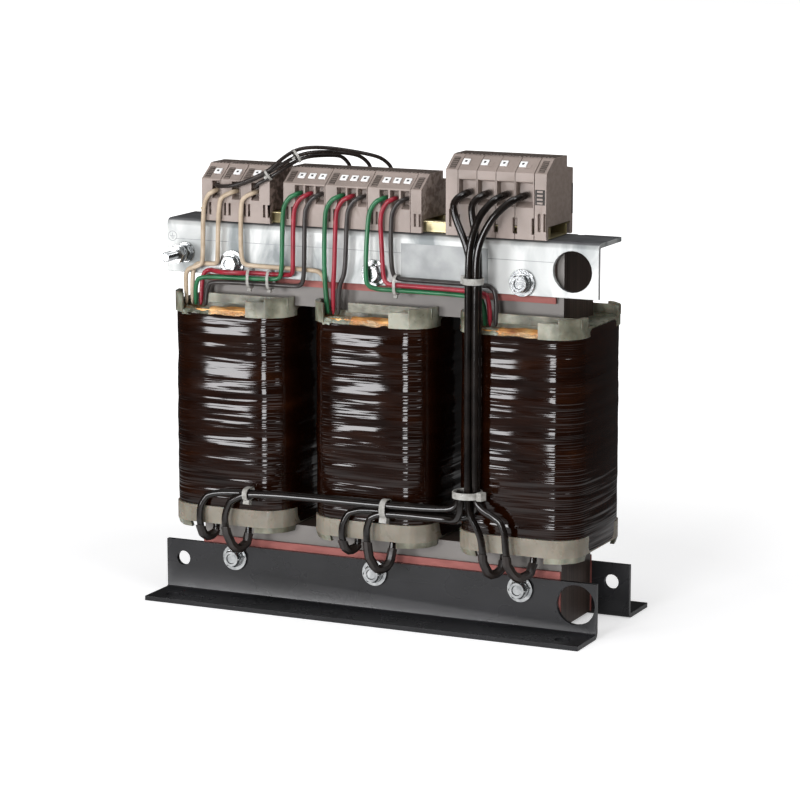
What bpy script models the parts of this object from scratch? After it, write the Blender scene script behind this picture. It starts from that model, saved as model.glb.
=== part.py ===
"""Open three-phase control transformer.

It has a laminated core, three varnished coils, clamp brackets and rail terminals. X runs along
the core, Y from front to back and Z up from the floor. The front brackets lie towards -Y.
"""
import math

import bmesh
import bpy
from mathutils import Vector

# General sizes, metres
CLEARANCE = 0.0003
OVERRUN = 0.002
BEND_STEPS = 3
CORNER_STEPS = 3
HOLE_SIDES = 16
BOLT_HOLE_SIDES = 12
LARGE_HOLE_SIDES = 24
SHARP_ANGLE = math.radians(35)

# Laminated core
LEG_WIDTH = 0.0495
WINDOW_WIDTH = 0.0495
WINDOW_HEIGHT = 0.141
YOKE_HEIGHT = 0.048
CORE_DEPTH = 0.048
CORE_BASE = 0.003
LEG_PITCH = LEG_WIDTH + WINDOW_WIDTH
CORE_HALF = LEG_PITCH + LEG_WIDTH / 2
WINDOW_BASE = CORE_BASE + YOKE_HEIGHT
WINDOW_TOP = WINDOW_BASE + WINDOW_HEIGHT
CORE_TOP = WINDOW_TOP + YOKE_HEIGHT
CORE_FRONT = CORE_DEPTH / 2

# Clamping: sheet brackets over insulation strips
SHEET = 0.003
STRIP_THICKNESS = 0.002
STRIP_REVEAL = 0.0045
STRIP_SETBACK = 0.002
TOP_STRIP_INSET = 0.0045
SHEET_INNER = CORE_FRONT + STRIP_THICKNESS + 2 * CLEARANCE
SHEET_OUTER = SHEET_INNER + SHEET
BRACKET_OVERHANG = 0.02525
BRACKET_HALF = CORE_HALF + BRACKET_OVERHANG
BEND_INSIDE = 0.001
BOTTOM_LEG_HEIGHT = 0.0345
BOTTOM_FLANGE_REACH = 0.030
TOP_FACE_HEIGHT = 0.034
TOP_FLANGE_DEPTH = 0.0374
TOP_INSET_LEFT = 0.0030
TOP_INSET_RIGHT = 0.0008
TOP_PLATE = CORE_TOP + CLEARANCE + SHEET
TOP_FACE_BASE = TOP_PLATE - TOP_FACE_HEIGHT
REAR_BAR_INSET = 0.00375

# Holes in the brackets, placed from the sheets' edges
MOUNT_HOLE = 0.010
MOUNT_HOLE_END = 0.0145
MOUNT_HOLE_EDGE = 0.0115
SMALL_HOLE = 0.0095
SMALL_HOLE_END = 0.012
SMALL_HOLE_DROP = 0.0119
LIFT_HOLE = 0.0252
LIFT_HOLE_END = 0.0135
LIFT_HOLE_DROP = 0.0142
TOP_LIFT_HOLE_END = 0.0178
TOP_LIFT_HOLE_RISE = 0.0162
EDGE_NOTCH = 0.0044
EDGE_NOTCH_END = 0.027

# Clamp bolts and the earth stud
BOLT_SHANK = 0.006
BOLT_HOLE = 0.0072
TOP_BOLT_RISE = 0.001
BOTTOM_BOLT_Z = CORE_BASE + YOKE_HEIGHT / 2
TOP_BOLT_Z = CORE_TOP - YOKE_HEIGHT / 2 + TOP_BOLT_RISE
HEX_FLATS = 0.010
HEX_HEIGHT = 0.0038
NUT_HEIGHT = 0.0050
FLAT_WASHER = 0.0168
FLAT_WASHER_THICKNESS = 0.0014
SPRING_WASHER = 0.0122
SPRING_WASHER_THICKNESS = 0.0012
BOLT_END = 0.003
BOLT_SIDES = 12
HEX_SIDES = 6
EARTH_END = 0.0165
EARTH_DROP = 0.0211
EARTH_X = EARTH_END - BRACKET_HALF
EARTH_Z = TOP_PLATE - EARTH_DROP
EARTH_WASHER = 0.0132
EARTH_REACH = 0.027
EARTH_NUT_SPACE = 0.004

# Coil formers and windings
BORE_CLEARANCE = 0.0005
TUBE_WALL = 0.0015
FORMER_GAP = 0.016
COIL_BUILD = 0.020
FORMER_HALF_X = (LEG_PITCH - FORMER_GAP) / 2
FORMER_HALF_Y = CORE_FRONT + COIL_BUILD
FORMER_CORNER = 0.0195
BOTTOM_FLANGE = 0.0110
TOP_FLANGE = 0.0062
LIP_HEIGHT = 0.0062
LIP_WALL = 0.0030
FOOT_HEIGHT = 0.0038
LIP_CLEARANCE = 0.0011
FRONT_OPENING_LEFT = 0.0340
FRONT_OPENING_RIGHT = 0.0160
FOOT_OPENING_LEFT = 0.0250
FOOT_OPENING_RIGHT = 0.0210
WINDING_INSET_X = 0.0005
WINDING_INSET_Y = 0.0010
WINDING_HALF_X = FORMER_HALF_X - WINDING_INSET_X
WINDING_HALF_Y = FORMER_HALF_Y - WINDING_INSET_Y
WINDING_CORNER = 0.0190
WRAP_THICKNESS = 0.0030
INNER_RISE = 0.0032
FORMER_BASE = WINDOW_BASE + CLEARANCE
FORMER_TOP = WINDOW_TOP - CLEARANCE
WINDING_BASE = FORMER_BASE + BOTTOM_FLANGE + CLEARANCE
WINDING_TOP = FORMER_TOP - TOP_FLANGE - CLEARANCE

# Mounting rail for the terminals
RAIL_WIDTH = 0.035
RAIL_HEIGHT = 0.0075
RAIL_CROWN = 0.027
RAIL_SHEET = 0.001
RAIL_LEFT_INSET = 0.0265
RAIL_RIGHT_INSET = 0.0345
RAIL_LEFT = RAIL_LEFT_INSET - BRACKET_HALF
RAIL_RIGHT = BRACKET_HALF - RAIL_RIGHT_INSET
RAIL_Y = TOP_FLANGE_DEPTH / 2 - SHEET_OUTER
RAIL_BASE = TOP_PLATE + CLEARANCE

# Terminals
TERMINAL_DEPTH = 0.042
SMALL_HEIGHT = 0.0353
LARGE_HEIGHT = 0.0485
DIVIDER = 0.0014
SIGNAL_POLE = 0.0066
SIGNAL_SPACER = 0.0072
PHASE_POLE = 0.0072
PHASE_SPACER = 0.0075
POWER_POLE = 0.0125
POWER_CLAMP = 0.0083
MARKER_SIZE = 0.0042
MARKER_DEPTH = 0.0010
RAIL_END = 0.0029
PHASE_GAP = 0.0090
POWER_GAP = 0.0159
SLOPE_REACH_SHARES = (-0.50, -0.25)
SMALL_SLOPE_SHARES = (0.75, 0.95)
LARGE_SLOPE_SHARES = (0.83, 0.98)
CROWN_SHARES = ((-0.21, 1.0), (0.27, 1.0), (0.27, 0.86), (0.50, 0.83), (0.50, 0.0))
ENTRY_SHARES = ((0.50, 0.38), (0.36, 0.46), (0.36, 0.69), (0.50, 0.73))
SLOT_DEPTH = 0.0025
SLOT_WIDTH_SHARES = ((0.30, 0.50), (0.74, 0.94))
SLOT_HEIGHT_SHARES = (0.11, 0.33)

# Insulated leads
SMALL_WIRE = 0.0029
THIN_WIRE = 0.0024
POWER_WIRE = 0.0045
WIRE_BEND = 0.006
TIGHT_BEND = 0.0035
BEND_SHARE = 0.45
SLIGHT_TURN = math.radians(26)
ARC_TURN = math.radians(52)

# Routes of the leads, point by point from the terminal to the coil
SIGNAL_LEADS = {
    "signal_lead_1": (
        (-0.1091, -0.0263, 0.2631),
        (-0.1092, -0.0342, 0.2631),
        (-0.1160, -0.0350, 0.2585),
        (-0.1173, -0.0346, 0.2440),
        (-0.1175, -0.0346, 0.2180),
        (-0.1200, -0.0346, 0.2146),
        (-0.1285, -0.0346, 0.2125),
        (-0.1304, -0.0345, 0.2080),
        (-0.1302, -0.0332, 0.1890),
    ),
    "signal_lead_2": (
        (-0.0953, -0.0263, 0.2631),
        (-0.0954, -0.0342, 0.2631),
        (-0.1050, -0.0346, 0.2590),
        (-0.1068, -0.0342, 0.2440),
        (-0.1072, -0.0342, 0.2200),
        (-0.1092, -0.0314, 0.2160),
        (-0.1240, -0.0314, 0.2160),
        (-0.1270, -0.0314, 0.2110),
        (-0.1268, -0.0326, 0.1890),
    ),
    "signal_lead_3": (
        (-0.0815, -0.0263, 0.2631),
        (-0.0816, -0.0342, 0.2631),
        (-0.0898, -0.0346, 0.2590),
        (-0.0908, -0.0342, 0.2440),
        (-0.0908, -0.0342, 0.2200),
        (-0.0885, -0.0314, 0.2164),
        (-0.0370, -0.0314, 0.2164),
        (-0.0325, -0.0312, 0.2090),
        (-0.0319, -0.0304, 0.1890),
    ),
}
TAP_LEADS = {
    "tap_lead_1_green": (
        (-0.0509, -0.0263, 0.2640),
        (-0.0511, -0.0343, 0.2640),
        (-0.0590, -0.0350, 0.2600),
        (-0.0612, -0.0348, 0.2500),
        (-0.0615, -0.0347, 0.2130),
        (-0.0650, -0.0347, 0.2087),
        (-0.1185, -0.0347, 0.2087),
        (-0.1237, -0.0345, 0.2040),
        (-0.1236, -0.0332, 0.1890),
    ),
    "tap_lead_1_red": (
        (-0.0437, -0.0263, 0.2640),
        (-0.0439, -0.0343, 0.2640),
        (-0.0515, -0.0350, 0.2595),
        (-0.0536, -0.0348, 0.2500),
        (-0.0539, -0.0348, 0.2140),
        (-0.0580, -0.0316, 0.2120),
        (-0.0860, -0.0315, 0.2120),
        (-0.0930, -0.0381, 0.2122),
        (-0.1050, -0.0381, 0.2122),
        (-0.1120, -0.0315, 0.2120),
        (-0.1170, -0.0314, 0.2120),
        (-0.1203, -0.0316, 0.2070),
        (-0.1201, -0.0330, 0.1890),
    ),
    "tap_lead_1_black": (
        (-0.0365, -0.0263, 0.2640),
        (-0.0367, -0.0343, 0.2640),
        (-0.0440, -0.0350, 0.2590),
        (-0.0458, -0.0348, 0.2500),
        (-0.0460, -0.0347, 0.2110),
        (-0.0500, -0.0330, 0.2055),
        (-0.1120, -0.0326, 0.2055),
        (-0.1165, -0.0326, 0.2010),
        (-0.1168, -0.0330, 0.1890),
    ),
    "tap_lead_2_green": (
        (-0.0218, -0.0263, 0.2640),
        (-0.0220, -0.0343, 0.2640),
        (-0.0298, -0.0350, 0.2600),
        (-0.0318, -0.0348, 0.2500),
        (-0.0325, -0.0349, 0.2120),
        (-0.0297, -0.0345, 0.1890),
    ),
    "tap_lead_2_red": (
        (-0.0146, -0.0263, 0.2640),
        (-0.0148, -0.0343, 0.2640),
        (-0.0224, -0.0350, 0.2600),
        (-0.0244, -0.0348, 0.2500),
        (-0.0250, -0.0349, 0.2180),
        (-0.0264, -0.0347, 0.2080),
        (-0.0263, -0.0337, 0.1890),
    ),
    "tap_lead_2_black": (
        (-0.0074, -0.0263, 0.2640),
        (-0.0076, -0.0343, 0.2640),
        (-0.0148, -0.0350, 0.2600),
        (-0.0168, -0.0348, 0.2500),
        (-0.0174, -0.0349, 0.2160),
        (-0.0226, -0.0347, 0.2080),
        (-0.0230, -0.0337, 0.1890),
    ),
    "tap_lead_3_green": (
        (0.0073, -0.0263, 0.2640),
        (0.0071, -0.0343, 0.2640),
        (-0.0001, -0.0350, 0.2600),
        (-0.0020, -0.0352, 0.2500),
        (-0.0022, -0.0382, 0.2240),
        (-0.0018, -0.0382, 0.2110),
        (0.0030, -0.0365, 0.2077),
        (0.0110, -0.0336, 0.2077),
        (0.0715, -0.0336, 0.2077),
        (0.0757, -0.0334, 0.2030),
        (0.0758, -0.0330, 0.1890),
    ),
    "tap_lead_3_red": (
        (0.0145, -0.0263, 0.2640),
        (0.0143, -0.0343, 0.2640),
        (0.0078, -0.0350, 0.2600),
        (0.0062, -0.0350, 0.2500),
        (0.0076, -0.0349, 0.2300),
        (0.0081, -0.0349, 0.2155),
        (0.0110, -0.0350, 0.2110),
        (0.0755, -0.0350, 0.2110),
        (0.0795, -0.0350, 0.2065),
        (0.0794, -0.0334, 0.1890),
    ),
    "tap_lead_3_black": (
        (0.0217, -0.0263, 0.2640),
        (0.0215, -0.0343, 0.2640),
        (0.0150, -0.0350, 0.2600),
        (0.0134, -0.0349, 0.2500),
        (0.0134, -0.0347, 0.2190),
        (0.0165, -0.0314, 0.2142),
        (0.0790, -0.0314, 0.2142),
        (0.0832, -0.0318, 0.2080),
        (0.0830, -0.0330, 0.1890),
    ),
}
POWER_LEADS = {
    "power_lead_1": (
        (0.0633, -0.0265, 0.2703),
        (0.0630, -0.0352, 0.2700),
        (0.0565, -0.0400, 0.2650),
        (0.0600, -0.0415, 0.2540),
        (0.0695, -0.0440, 0.2380),
        (0.0721, -0.0456, 0.2220),
        (0.0721, -0.0457, 0.0860),
        (0.0690, -0.0457, 0.0780),
        (0.0620, -0.0457, 0.0757),
        (-0.0450, -0.0457, 0.0757),
        (-0.0800, -0.0457, 0.0735),
        (-0.1050, -0.0457, 0.0725),
        (-0.1137, -0.0468, 0.0675),
        (-0.1150, -0.0474, 0.0590),
        (-0.1150, -0.0474, 0.0475),
        (-0.1122, -0.0440, 0.0416),
        (-0.1086, -0.0372, 0.0440),
        (-0.1086, -0.0370, 0.0508),
    ),
    "power_lead_2": (
        (0.0758, -0.0265, 0.2703),
        (0.0754, -0.0352, 0.2700),
        (0.0690, -0.0400, 0.2650),
        (0.0710, -0.0415, 0.2540),
        (0.0763, -0.0440, 0.2380),
        (0.0769, -0.0456, 0.2220),
        (0.0769, -0.0457, 0.0820),
        (0.0735, -0.0457, 0.0735),
        (0.0640, -0.0457, 0.0708),
        (0.0050, -0.0457, 0.0708),
        (-0.0070, -0.0460, 0.0700),
        (-0.0133, -0.0470, 0.0650),
        (-0.0145, -0.0474, 0.0570),
        (-0.0144, -0.0474, 0.0480),
        (-0.0116, -0.0440, 0.0424),
        (-0.0082, -0.0372, 0.0446),
        (-0.0082, -0.0370, 0.0508),
    ),
    "power_lead_3": (
        (0.0883, -0.0265, 0.2703),
        (0.0879, -0.0355, 0.2700),
        (0.0800, -0.0435, 0.2650),
        (0.0752, -0.0478, 0.2520),
        (0.0725, -0.0502, 0.2380),
        (0.0721, -0.0505, 0.2220),
        (0.0721, -0.0505, 0.0820),
        (0.0735, -0.0506, 0.0740),
        (0.0800, -0.0506, 0.0670),
        (0.0822, -0.0506, 0.0570),
        (0.0828, -0.0500, 0.0430),
        (0.0862, -0.0450, 0.0366),
        (0.0905, -0.0378, 0.0400),
        (0.0907, -0.0370, 0.0508),
    ),
    "power_lead_4": (
        (0.1008, -0.0265, 0.2703),
        (0.1003, -0.0355, 0.2700),
        (0.0905, -0.0435, 0.2650),
        (0.0820, -0.0480, 0.2510),
        (0.0774, -0.0502, 0.2380),
        (0.0769, -0.0505, 0.2220),
        (0.0769, -0.0505, 0.0860),
        (0.0800, -0.0507, 0.0790),
        (0.0910, -0.0508, 0.0755),
        (0.0975, -0.0508, 0.0690),
        (0.0975, -0.0508, 0.0580),
        (0.0990, -0.0505, 0.0460),
        (0.1032, -0.0485, 0.0382),
        (0.1082, -0.0430, 0.0374),
        (0.1106, -0.0374, 0.0425),
        (0.1106, -0.0370, 0.0508),
    ),
}
STAR_LINKS = {
    "star_link_1": (
        (0.0672, -0.0505, 0.0900),
        (0.0670, -0.0505, 0.0830),
        (0.0610, -0.0505, 0.0757),
        (-0.0450, -0.0505, 0.0757),
        (-0.0780, -0.0505, 0.0745),
        (-0.0880, -0.0507, 0.0715),
        (-0.0945, -0.0507, 0.0650),
        (-0.0955, -0.0507, 0.0550),
        (-0.0930, -0.0505, 0.0435),
        (-0.0895, -0.0470, 0.0366),
        (-0.0862, -0.0410, 0.0374),
        (-0.0854, -0.0372, 0.0430),
        (-0.0854, -0.0370, 0.0508),
    ),
    "star_link_2": (
        (0.0697, -0.0554, 0.0900),
        (0.0697, -0.0555, 0.0790),
        (0.0675, -0.0550, 0.0715),
        (0.0600, -0.0505, 0.0708),
        (0.0190, -0.0505, 0.0708),
        (0.0090, -0.0508, 0.0695),
        (0.0045, -0.0508, 0.0640),
        (0.0040, -0.0508, 0.0560),
        (0.0058, -0.0505, 0.0420),
        (0.0096, -0.0480, 0.0334),
        (0.0142, -0.0420, 0.0342),
        (0.0158, -0.0374, 0.0420),
        (0.0158, -0.0370, 0.0508),
    ),
}
SIGNAL_LINKS = {
    "signal_link_1": (
        (-0.1091, -0.0263, 0.2663),
        (-0.1090, -0.0345, 0.2663),
        (-0.1010, -0.0381, 0.2660),
        (-0.0900, -0.0381, 0.2680),
        (-0.0700, -0.0369, 0.2767),
        (-0.0620, -0.0320, 0.2855),
        (-0.0545, -0.0245, 0.2915),
        (-0.0400, -0.0130, 0.2915),
        (-0.0160, 0.0010, 0.2865),
        (-0.0095, 0.0100, 0.2820),
        (-0.0074, 0.0135, 0.2740),
        (-0.0074, 0.0130, 0.2670),
        (-0.0074, 0.0100, 0.2645),
        (-0.0074, 0.0047, 0.2645),
    ),
    "signal_link_2": (
        (-0.0953, -0.0263, 0.2663),
        (-0.0952, -0.0345, 0.2663),
        (-0.0880, -0.0353, 0.2685),
        (-0.0700, -0.0338, 0.2762),
        (-0.0612, -0.0288, 0.2830),
        (-0.0530, -0.0215, 0.2882),
        (-0.0420, -0.0110, 0.2885),
        (-0.0300, 0.0010, 0.2865),
        (-0.0240, 0.0090, 0.2830),
        (-0.0219, 0.0135, 0.2740),
        (-0.0218, 0.0130, 0.2670),
        (-0.0218, 0.0100, 0.2645),
        (-0.0218, 0.0047, 0.2645),
    ),
    "signal_link_3": (
        (-0.0815, -0.0263, 0.2663),
        (-0.0814, -0.0345, 0.2663),
        (-0.0770, -0.0350, 0.2695),
        (-0.0690, -0.0335, 0.2735),
        (-0.0605, -0.0287, 0.2802),
        (-0.0535, -0.0205, 0.2853),
        (-0.0470, -0.0110, 0.2857),
        (-0.0400, 0.0010, 0.2850),
        (-0.0375, 0.0090, 0.2820),
        (-0.0366, 0.0135, 0.2740),
        (-0.0365, 0.0130, 0.2670),
        (-0.0365, 0.0100, 0.2645),
        (-0.0365, 0.0047, 0.2645),
    ),
}

# Colours
BLACK_PAINT = (0.012, 0.012, 0.013)
ZINC = (0.62, 0.64, 0.66)
YELLOW_ZINC = (0.60, 0.52, 0.30)
STEEL = (0.55, 0.55, 0.54)
CORE_BROWN = (0.14, 0.13, 0.12)
STRIP_RED = (0.52, 0.13, 0.12)
VARNISH = (0.022, 0.011, 0.008)
COPPER = (0.55, 0.25, 0.08)
FORMER_GREY = (0.38, 0.38, 0.31)
TAUPE = (0.30, 0.26, 0.23)
BEIGE = (0.62, 0.50, 0.36)
GREEN = (0.03, 0.22, 0.09)
RED = (0.42, 0.02, 0.03)
GREY_BLACK = (0.05, 0.05, 0.05)
GLOSS_BLACK = (0.010, 0.010, 0.010)

MATERIALS = {}


def clear_scene():
    """Removes everything that a new file holds."""
    for item in list(bpy.data.objects):
        bpy.data.objects.remove(item, do_unlink=True)


def material(name, colour, roughness, metallic=0.0):
    """One Principled material for each name."""
    if name not in MATERIALS:
        made = bpy.data.materials.new(name)
        made.use_nodes = True
        shader = made.node_tree.nodes["Principled BSDF"]
        shader.inputs["Base Color"].default_value = (*colour, 1.0)
        shader.inputs["Roughness"].default_value = roughness
        shader.inputs["Metallic"].default_value = metallic
        made.diffuse_color = (*colour, 1.0)
        MATERIALS[name] = made
    return MATERIALS[name]


def place(name, shape, skin=None, location=(0, 0, 0), turn=0.0):
    """Turns a bmesh into a named object."""
    bmesh.ops.recalc_face_normals(shape, faces=shape.faces)
    mesh = bpy.data.meshes.new(name)
    shape.to_mesh(mesh)
    shape.free()
    item = bpy.data.objects.new(name, mesh)
    item.location = location
    item.rotation_euler = (0, 0, turn)
    bpy.context.scene.collection.objects.link(item)
    if skin:
        mesh.materials.append(skin)
    return item


def smooth(item):
    """Shades a round part smooth and keeps its sharp edges."""
    item.data.shade_smooth()
    item.data.set_sharp_from_angle(angle=SHARP_ANGLE)
    return item


def combine(item, shape, label, operation="DIFFERENCE"):
    """Cuts or joins a helper shape with an exact Boolean."""
    helper = place(f"{item.name}_{label}", shape)
    helper.hide_render = True
    helper.display_type = "WIRE"
    helper.parent = item
    step = item.modifiers.new(label, "BOOLEAN")
    step.operation = operation
    step.solver = "EXACT"
    step.object = helper
    return item


def add_box(shape, x_range, y_range, z_range):
    """Adds a closed box to a bmesh."""
    corners = [
        shape.verts.new((x, y, z))
        for z in z_range
        for x, y in (
            (x_range[0], y_range[0]),
            (x_range[1], y_range[0]),
            (x_range[1], y_range[1]),
            (x_range[0], y_range[1]),
        )
    ]
    low, high = corners[:4], corners[4:]
    shape.faces.new(low[::-1])
    shape.faces.new(high)
    for index in range(4):
        after = (index + 1) % 4
        shape.faces.new((low[index], low[after], high[after], high[index]))


def add_prism(shape, outline, x_start, x_end):
    """Adds an outline in Y and Z, extruded along X."""
    base = [shape.verts.new((x_start, y, z)) for y, z in outline]
    face = shape.faces.new(base)
    pushed = bmesh.ops.extrude_face_region(shape, geom=[face])
    moved = [part for part in pushed["geom"] if isinstance(part, bmesh.types.BMVert)]
    bmesh.ops.translate(shape, verts=moved, vec=(x_end - x_start, 0, 0))


def add_bar(shape, centre, radius, start, end, axis, sides=HOLE_SIDES):
    """Adds a round bar along Y or Z."""
    rings = []
    for along in (start, end):
        ring = []
        for index in range(sides):
            angle = 2 * math.pi * index / sides
            first = centre[0] + radius * math.cos(angle)
            second = centre[1] + radius * math.sin(angle)
            point = (first, along, second) if axis == "Y" else (first, second, along)
            ring.append(shape.verts.new(point))
        rings.append(ring)
    close_loft(shape, rings)


def close_loft(shape, rings, endless=False):
    """Skins equal rings in order and caps or joins the ends."""
    pairs = list(zip(rings, rings[1:]))
    if endless:
        pairs.append((rings[-1], rings[0]))
    else:
        shape.faces.new(rings[0][::-1])
        shape.faces.new(rings[-1])
    for lower, upper in pairs:
        for index, corner in enumerate(lower):
            after = (index + 1) % len(lower)
            shape.faces.new((corner, lower[after], upper[after], upper[index]))


def rounded_rectangle(half_x, half_y, radius):
    """Outline of a rectangle with round corners, in X and Y."""
    points = []
    for quarter, (side_x, side_y) in enumerate(((1, 1), (-1, 1), (-1, -1), (1, -1))):
        for step in range(CORNER_STEPS + 1):
            angle = math.pi / 2 * (quarter + step / CORNER_STEPS)
            x = side_x * (half_x - radius) + radius * math.cos(angle)
            y = side_y * (half_y - radius) + radius * math.sin(angle)
            points.append((x, y))
    return points


def sleeve(levels):
    """A body round a hole: each level is half_x, half_y, corner radius and height."""
    shape = bmesh.new()
    rings = []
    for half_x, half_y, radius, height in levels:
        outline = rounded_rectangle(half_x, half_y, radius)
        rings.append([shape.verts.new((x, y, height)) for x, y in outline])
    close_loft(shape, rings, endless=True)
    return shape


def turned(stations, location):
    """A fastener along Y: each station is its place, its radius and whether it is a hexagon."""
    shape = bmesh.new()
    rings = []
    side = 2 * math.pi / HEX_SIDES
    for along, radius, hexagon in stations:
        ring = []
        for index in range(BOLT_SIDES):
            angle = 2 * math.pi * index / BOLT_SIDES
            reach = radius
            if hexagon:
                reach = radius / math.cos(angle % side - side / 2)
            ring.append(shape.verts.new((reach * math.cos(angle), along, reach * math.sin(angle))))
        rings.append(ring)
    close_loft(shape, rings)
    bmesh.ops.translate(shape, verts=shape.verts, vec=location)
    return shape


def core():
    """Stacked laminations: three legs between two yokes, drilled for the clamp bolts."""
    shape = bmesh.new()
    add_box(shape, (-CORE_HALF, CORE_HALF), (-CORE_FRONT, CORE_FRONT), (CORE_BASE, CORE_TOP))
    body = place("core_laminations", shape, material("lamination", CORE_BROWN, 0.55, 0.3))
    openings = bmesh.new()
    for side in (-1, 1):
        middle = side * LEG_PITCH / 2
        add_box(
            openings,
            (middle - WINDOW_WIDTH / 2, middle + WINDOW_WIDTH / 2),
            (-CORE_FRONT - OVERRUN, CORE_FRONT + OVERRUN),
            (WINDOW_BASE, WINDOW_TOP),
        )
    drill(openings, CORE_FRONT + OVERRUN, (BOTTOM_BOLT_Z, TOP_BOLT_Z))
    combine(body, openings, "openings")


def drill(shape, reach, heights):
    """Adds the clamp bolts' holes, from front to back."""
    for height in heights:
        for column in (-1, 0, 1):
            add_bar(shape, (column * LEG_PITCH, height), BOLT_HOLE / 2, -reach, reach, "Y", BOLT_HOLE_SIDES)


def strips():
    """Insulation strips between the core and the clamping sheets."""
    skin = material("insulation_board", STRIP_RED, 0.75)
    spans = {
        "bottom": (CORE_HALF, CORE_BASE, BOTTOM_LEG_HEIGHT + STRIP_REVEAL, BOTTOM_BOLT_Z),
        "top": (
            CORE_HALF - TOP_STRIP_INSET,
            TOP_FACE_BASE - STRIP_REVEAL,
            CORE_TOP - STRIP_SETBACK,
            TOP_BOLT_Z,
        ),
    }
    inner = CORE_FRONT + CLEARANCE
    for level, (half, low, high, bolt_height) in spans.items():
        for place_name, side in (("front", -1), ("back", 1)):
            shape = bmesh.new()
            faces = sorted((side * inner, side * (inner + STRIP_THICKNESS)))
            add_box(shape, (-half, half), faces, (low, high))
            strip = place(f"insulation_strip_{level}_{place_name}", shape, skin)
            holes = bmesh.new()
            drill(holes, SHEET_OUTER, (bolt_height,))
            combine(strip, holes, "holes")


def bent_sheet(corner, leg_end, flange_end, inside, thickness):
    """L section in Y and Z: the corner is the bend's outer point, the legs run to the two ends."""
    corner_y, corner_z = corner
    to_leg = 1 if leg_end > corner_z else -1
    to_flange = 1 if flange_end > corner_y else -1
    outside = inside + thickness
    centre_y = corner_y + to_flange * outside
    centre_z = corner_z + to_leg * outside
    bends = []
    for radius in (outside, inside):
        bend = []
        for step in range(BEND_STEPS + 1):
            angle = math.pi / 2 * step / BEND_STEPS
            y = centre_y - to_flange * radius * math.cos(angle)
            z = centre_z - to_leg * radius * math.sin(angle)
            bend.append((y, z))
        bends.append(bend)
    outer_bend, inner_bend = bends
    return [
        (corner_y, leg_end),
        *outer_bend,
        (flange_end, corner_z),
        (flange_end, corner_z + to_leg * thickness),
        *reversed(inner_bend),
        (corner_y + to_flange * thickness, leg_end),
    ]


def bottom_brackets():
    """Two equal foot brackets, the back one turned half round."""
    skin = material("black_paint", BLACK_PAINT, 0.32)
    front_edge = -SHEET_OUTER - BOTTOM_FLANGE_REACH
    outline = bent_sheet((-SHEET_INNER, 0), BOTTOM_LEG_HEIGHT, front_edge, BEND_INSIDE, SHEET)
    near, far = -SHEET_INNER + OVERRUN, -SHEET_OUTER - OVERRUN
    small_place = (SMALL_HOLE_END - BRACKET_HALF, BOTTOM_LEG_HEIGHT - SMALL_HOLE_DROP)
    lift_place = (BRACKET_HALF - LIFT_HOLE_END, BOTTOM_LEG_HEIGHT - LIFT_HOLE_DROP)
    for place_name, turn in (("front", 0), ("back", math.pi)):
        shape = bmesh.new()
        add_prism(shape, outline, -BRACKET_HALF, BRACKET_HALF)
        bracket = place(f"bottom_bracket_{place_name}", shape, skin, turn=turn)
        holes = bmesh.new()
        for column in (-1, 0, 1):
            bolt_place = (column * LEG_PITCH, BOTTOM_BOLT_Z)
            add_bar(holes, bolt_place, BOLT_HOLE / 2, far, near, "Y", BOLT_HOLE_SIDES)
        add_bar(holes, small_place, SMALL_HOLE / 2, far, near, "Y")
        add_bar(holes, lift_place, LIFT_HOLE / 2, far, near, "Y", LARGE_HOLE_SIDES)
        for side in (-1, 1):
            centre = (side * (BRACKET_HALF - MOUNT_HOLE_END), front_edge + MOUNT_HOLE_EDGE)
            add_bar(holes, centre, MOUNT_HOLE / 2, -OVERRUN, SHEET + OVERRUN, "Z")
        combine(bracket, holes, "holes")


def top_bracket():
    """Zinc clamp bracket: its face bears on the yoke's front and its flange carries the rail."""
    skin = material("bright_zinc", ZINC, 0.28, 0.9)
    back_edge = TOP_FLANGE_DEPTH - SHEET_OUTER
    outline = bent_sheet((-SHEET_OUTER, TOP_PLATE), TOP_FACE_BASE, back_edge, BEND_INSIDE, SHEET)
    shape = bmesh.new()
    add_prism(shape, outline, TOP_INSET_LEFT - BRACKET_HALF, BRACKET_HALF - TOP_INSET_RIGHT)
    bracket = place("top_bracket", shape, skin)
    holes = bmesh.new()
    near, far = -SHEET_INNER + OVERRUN, -SHEET_OUTER - OVERRUN
    for column in (-1, 0, 1):
        bolt_place = (column * LEG_PITCH, TOP_BOLT_Z)
        add_bar(holes, bolt_place, BOLT_HOLE / 2, far, near, "Y", BOLT_HOLE_SIDES)
    add_bar(holes, (EARTH_X, EARTH_Z), BOLT_HOLE / 2, far, near, "Y", BOLT_HOLE_SIDES)
    lift_place = (BRACKET_HALF - TOP_LIFT_HOLE_END, TOP_FACE_BASE + TOP_LIFT_HOLE_RISE)
    add_bar(holes, lift_place, LIFT_HOLE / 2, far, near, "Y", LARGE_HOLE_SIDES)
    notch = (BRACKET_HALF - EDGE_NOTCH_END, back_edge)
    add_bar(holes, notch, EDGE_NOTCH / 2, TOP_PLATE - SHEET - OVERRUN, TOP_PLATE + OVERRUN, "Z")
    combine(bracket, holes, "holes")


def rear_bar():
    """Flat zinc bar that takes the top bolts' nuts behind the yoke."""
    shape = bmesh.new()
    half = CORE_HALF - REAR_BAR_INSET
    add_box(shape, (-half, half), (SHEET_INNER, SHEET_OUTER), (TOP_FACE_BASE, CORE_TOP - STRIP_SETBACK))
    bar = place("rear_clamp_bar", shape, material("bright_zinc", ZINC, 0.28, 0.9))
    holes = bmesh.new()
    drill(holes, SHEET_OUTER + OVERRUN, (TOP_BOLT_Z,))
    combine(bar, holes, "holes")


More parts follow.
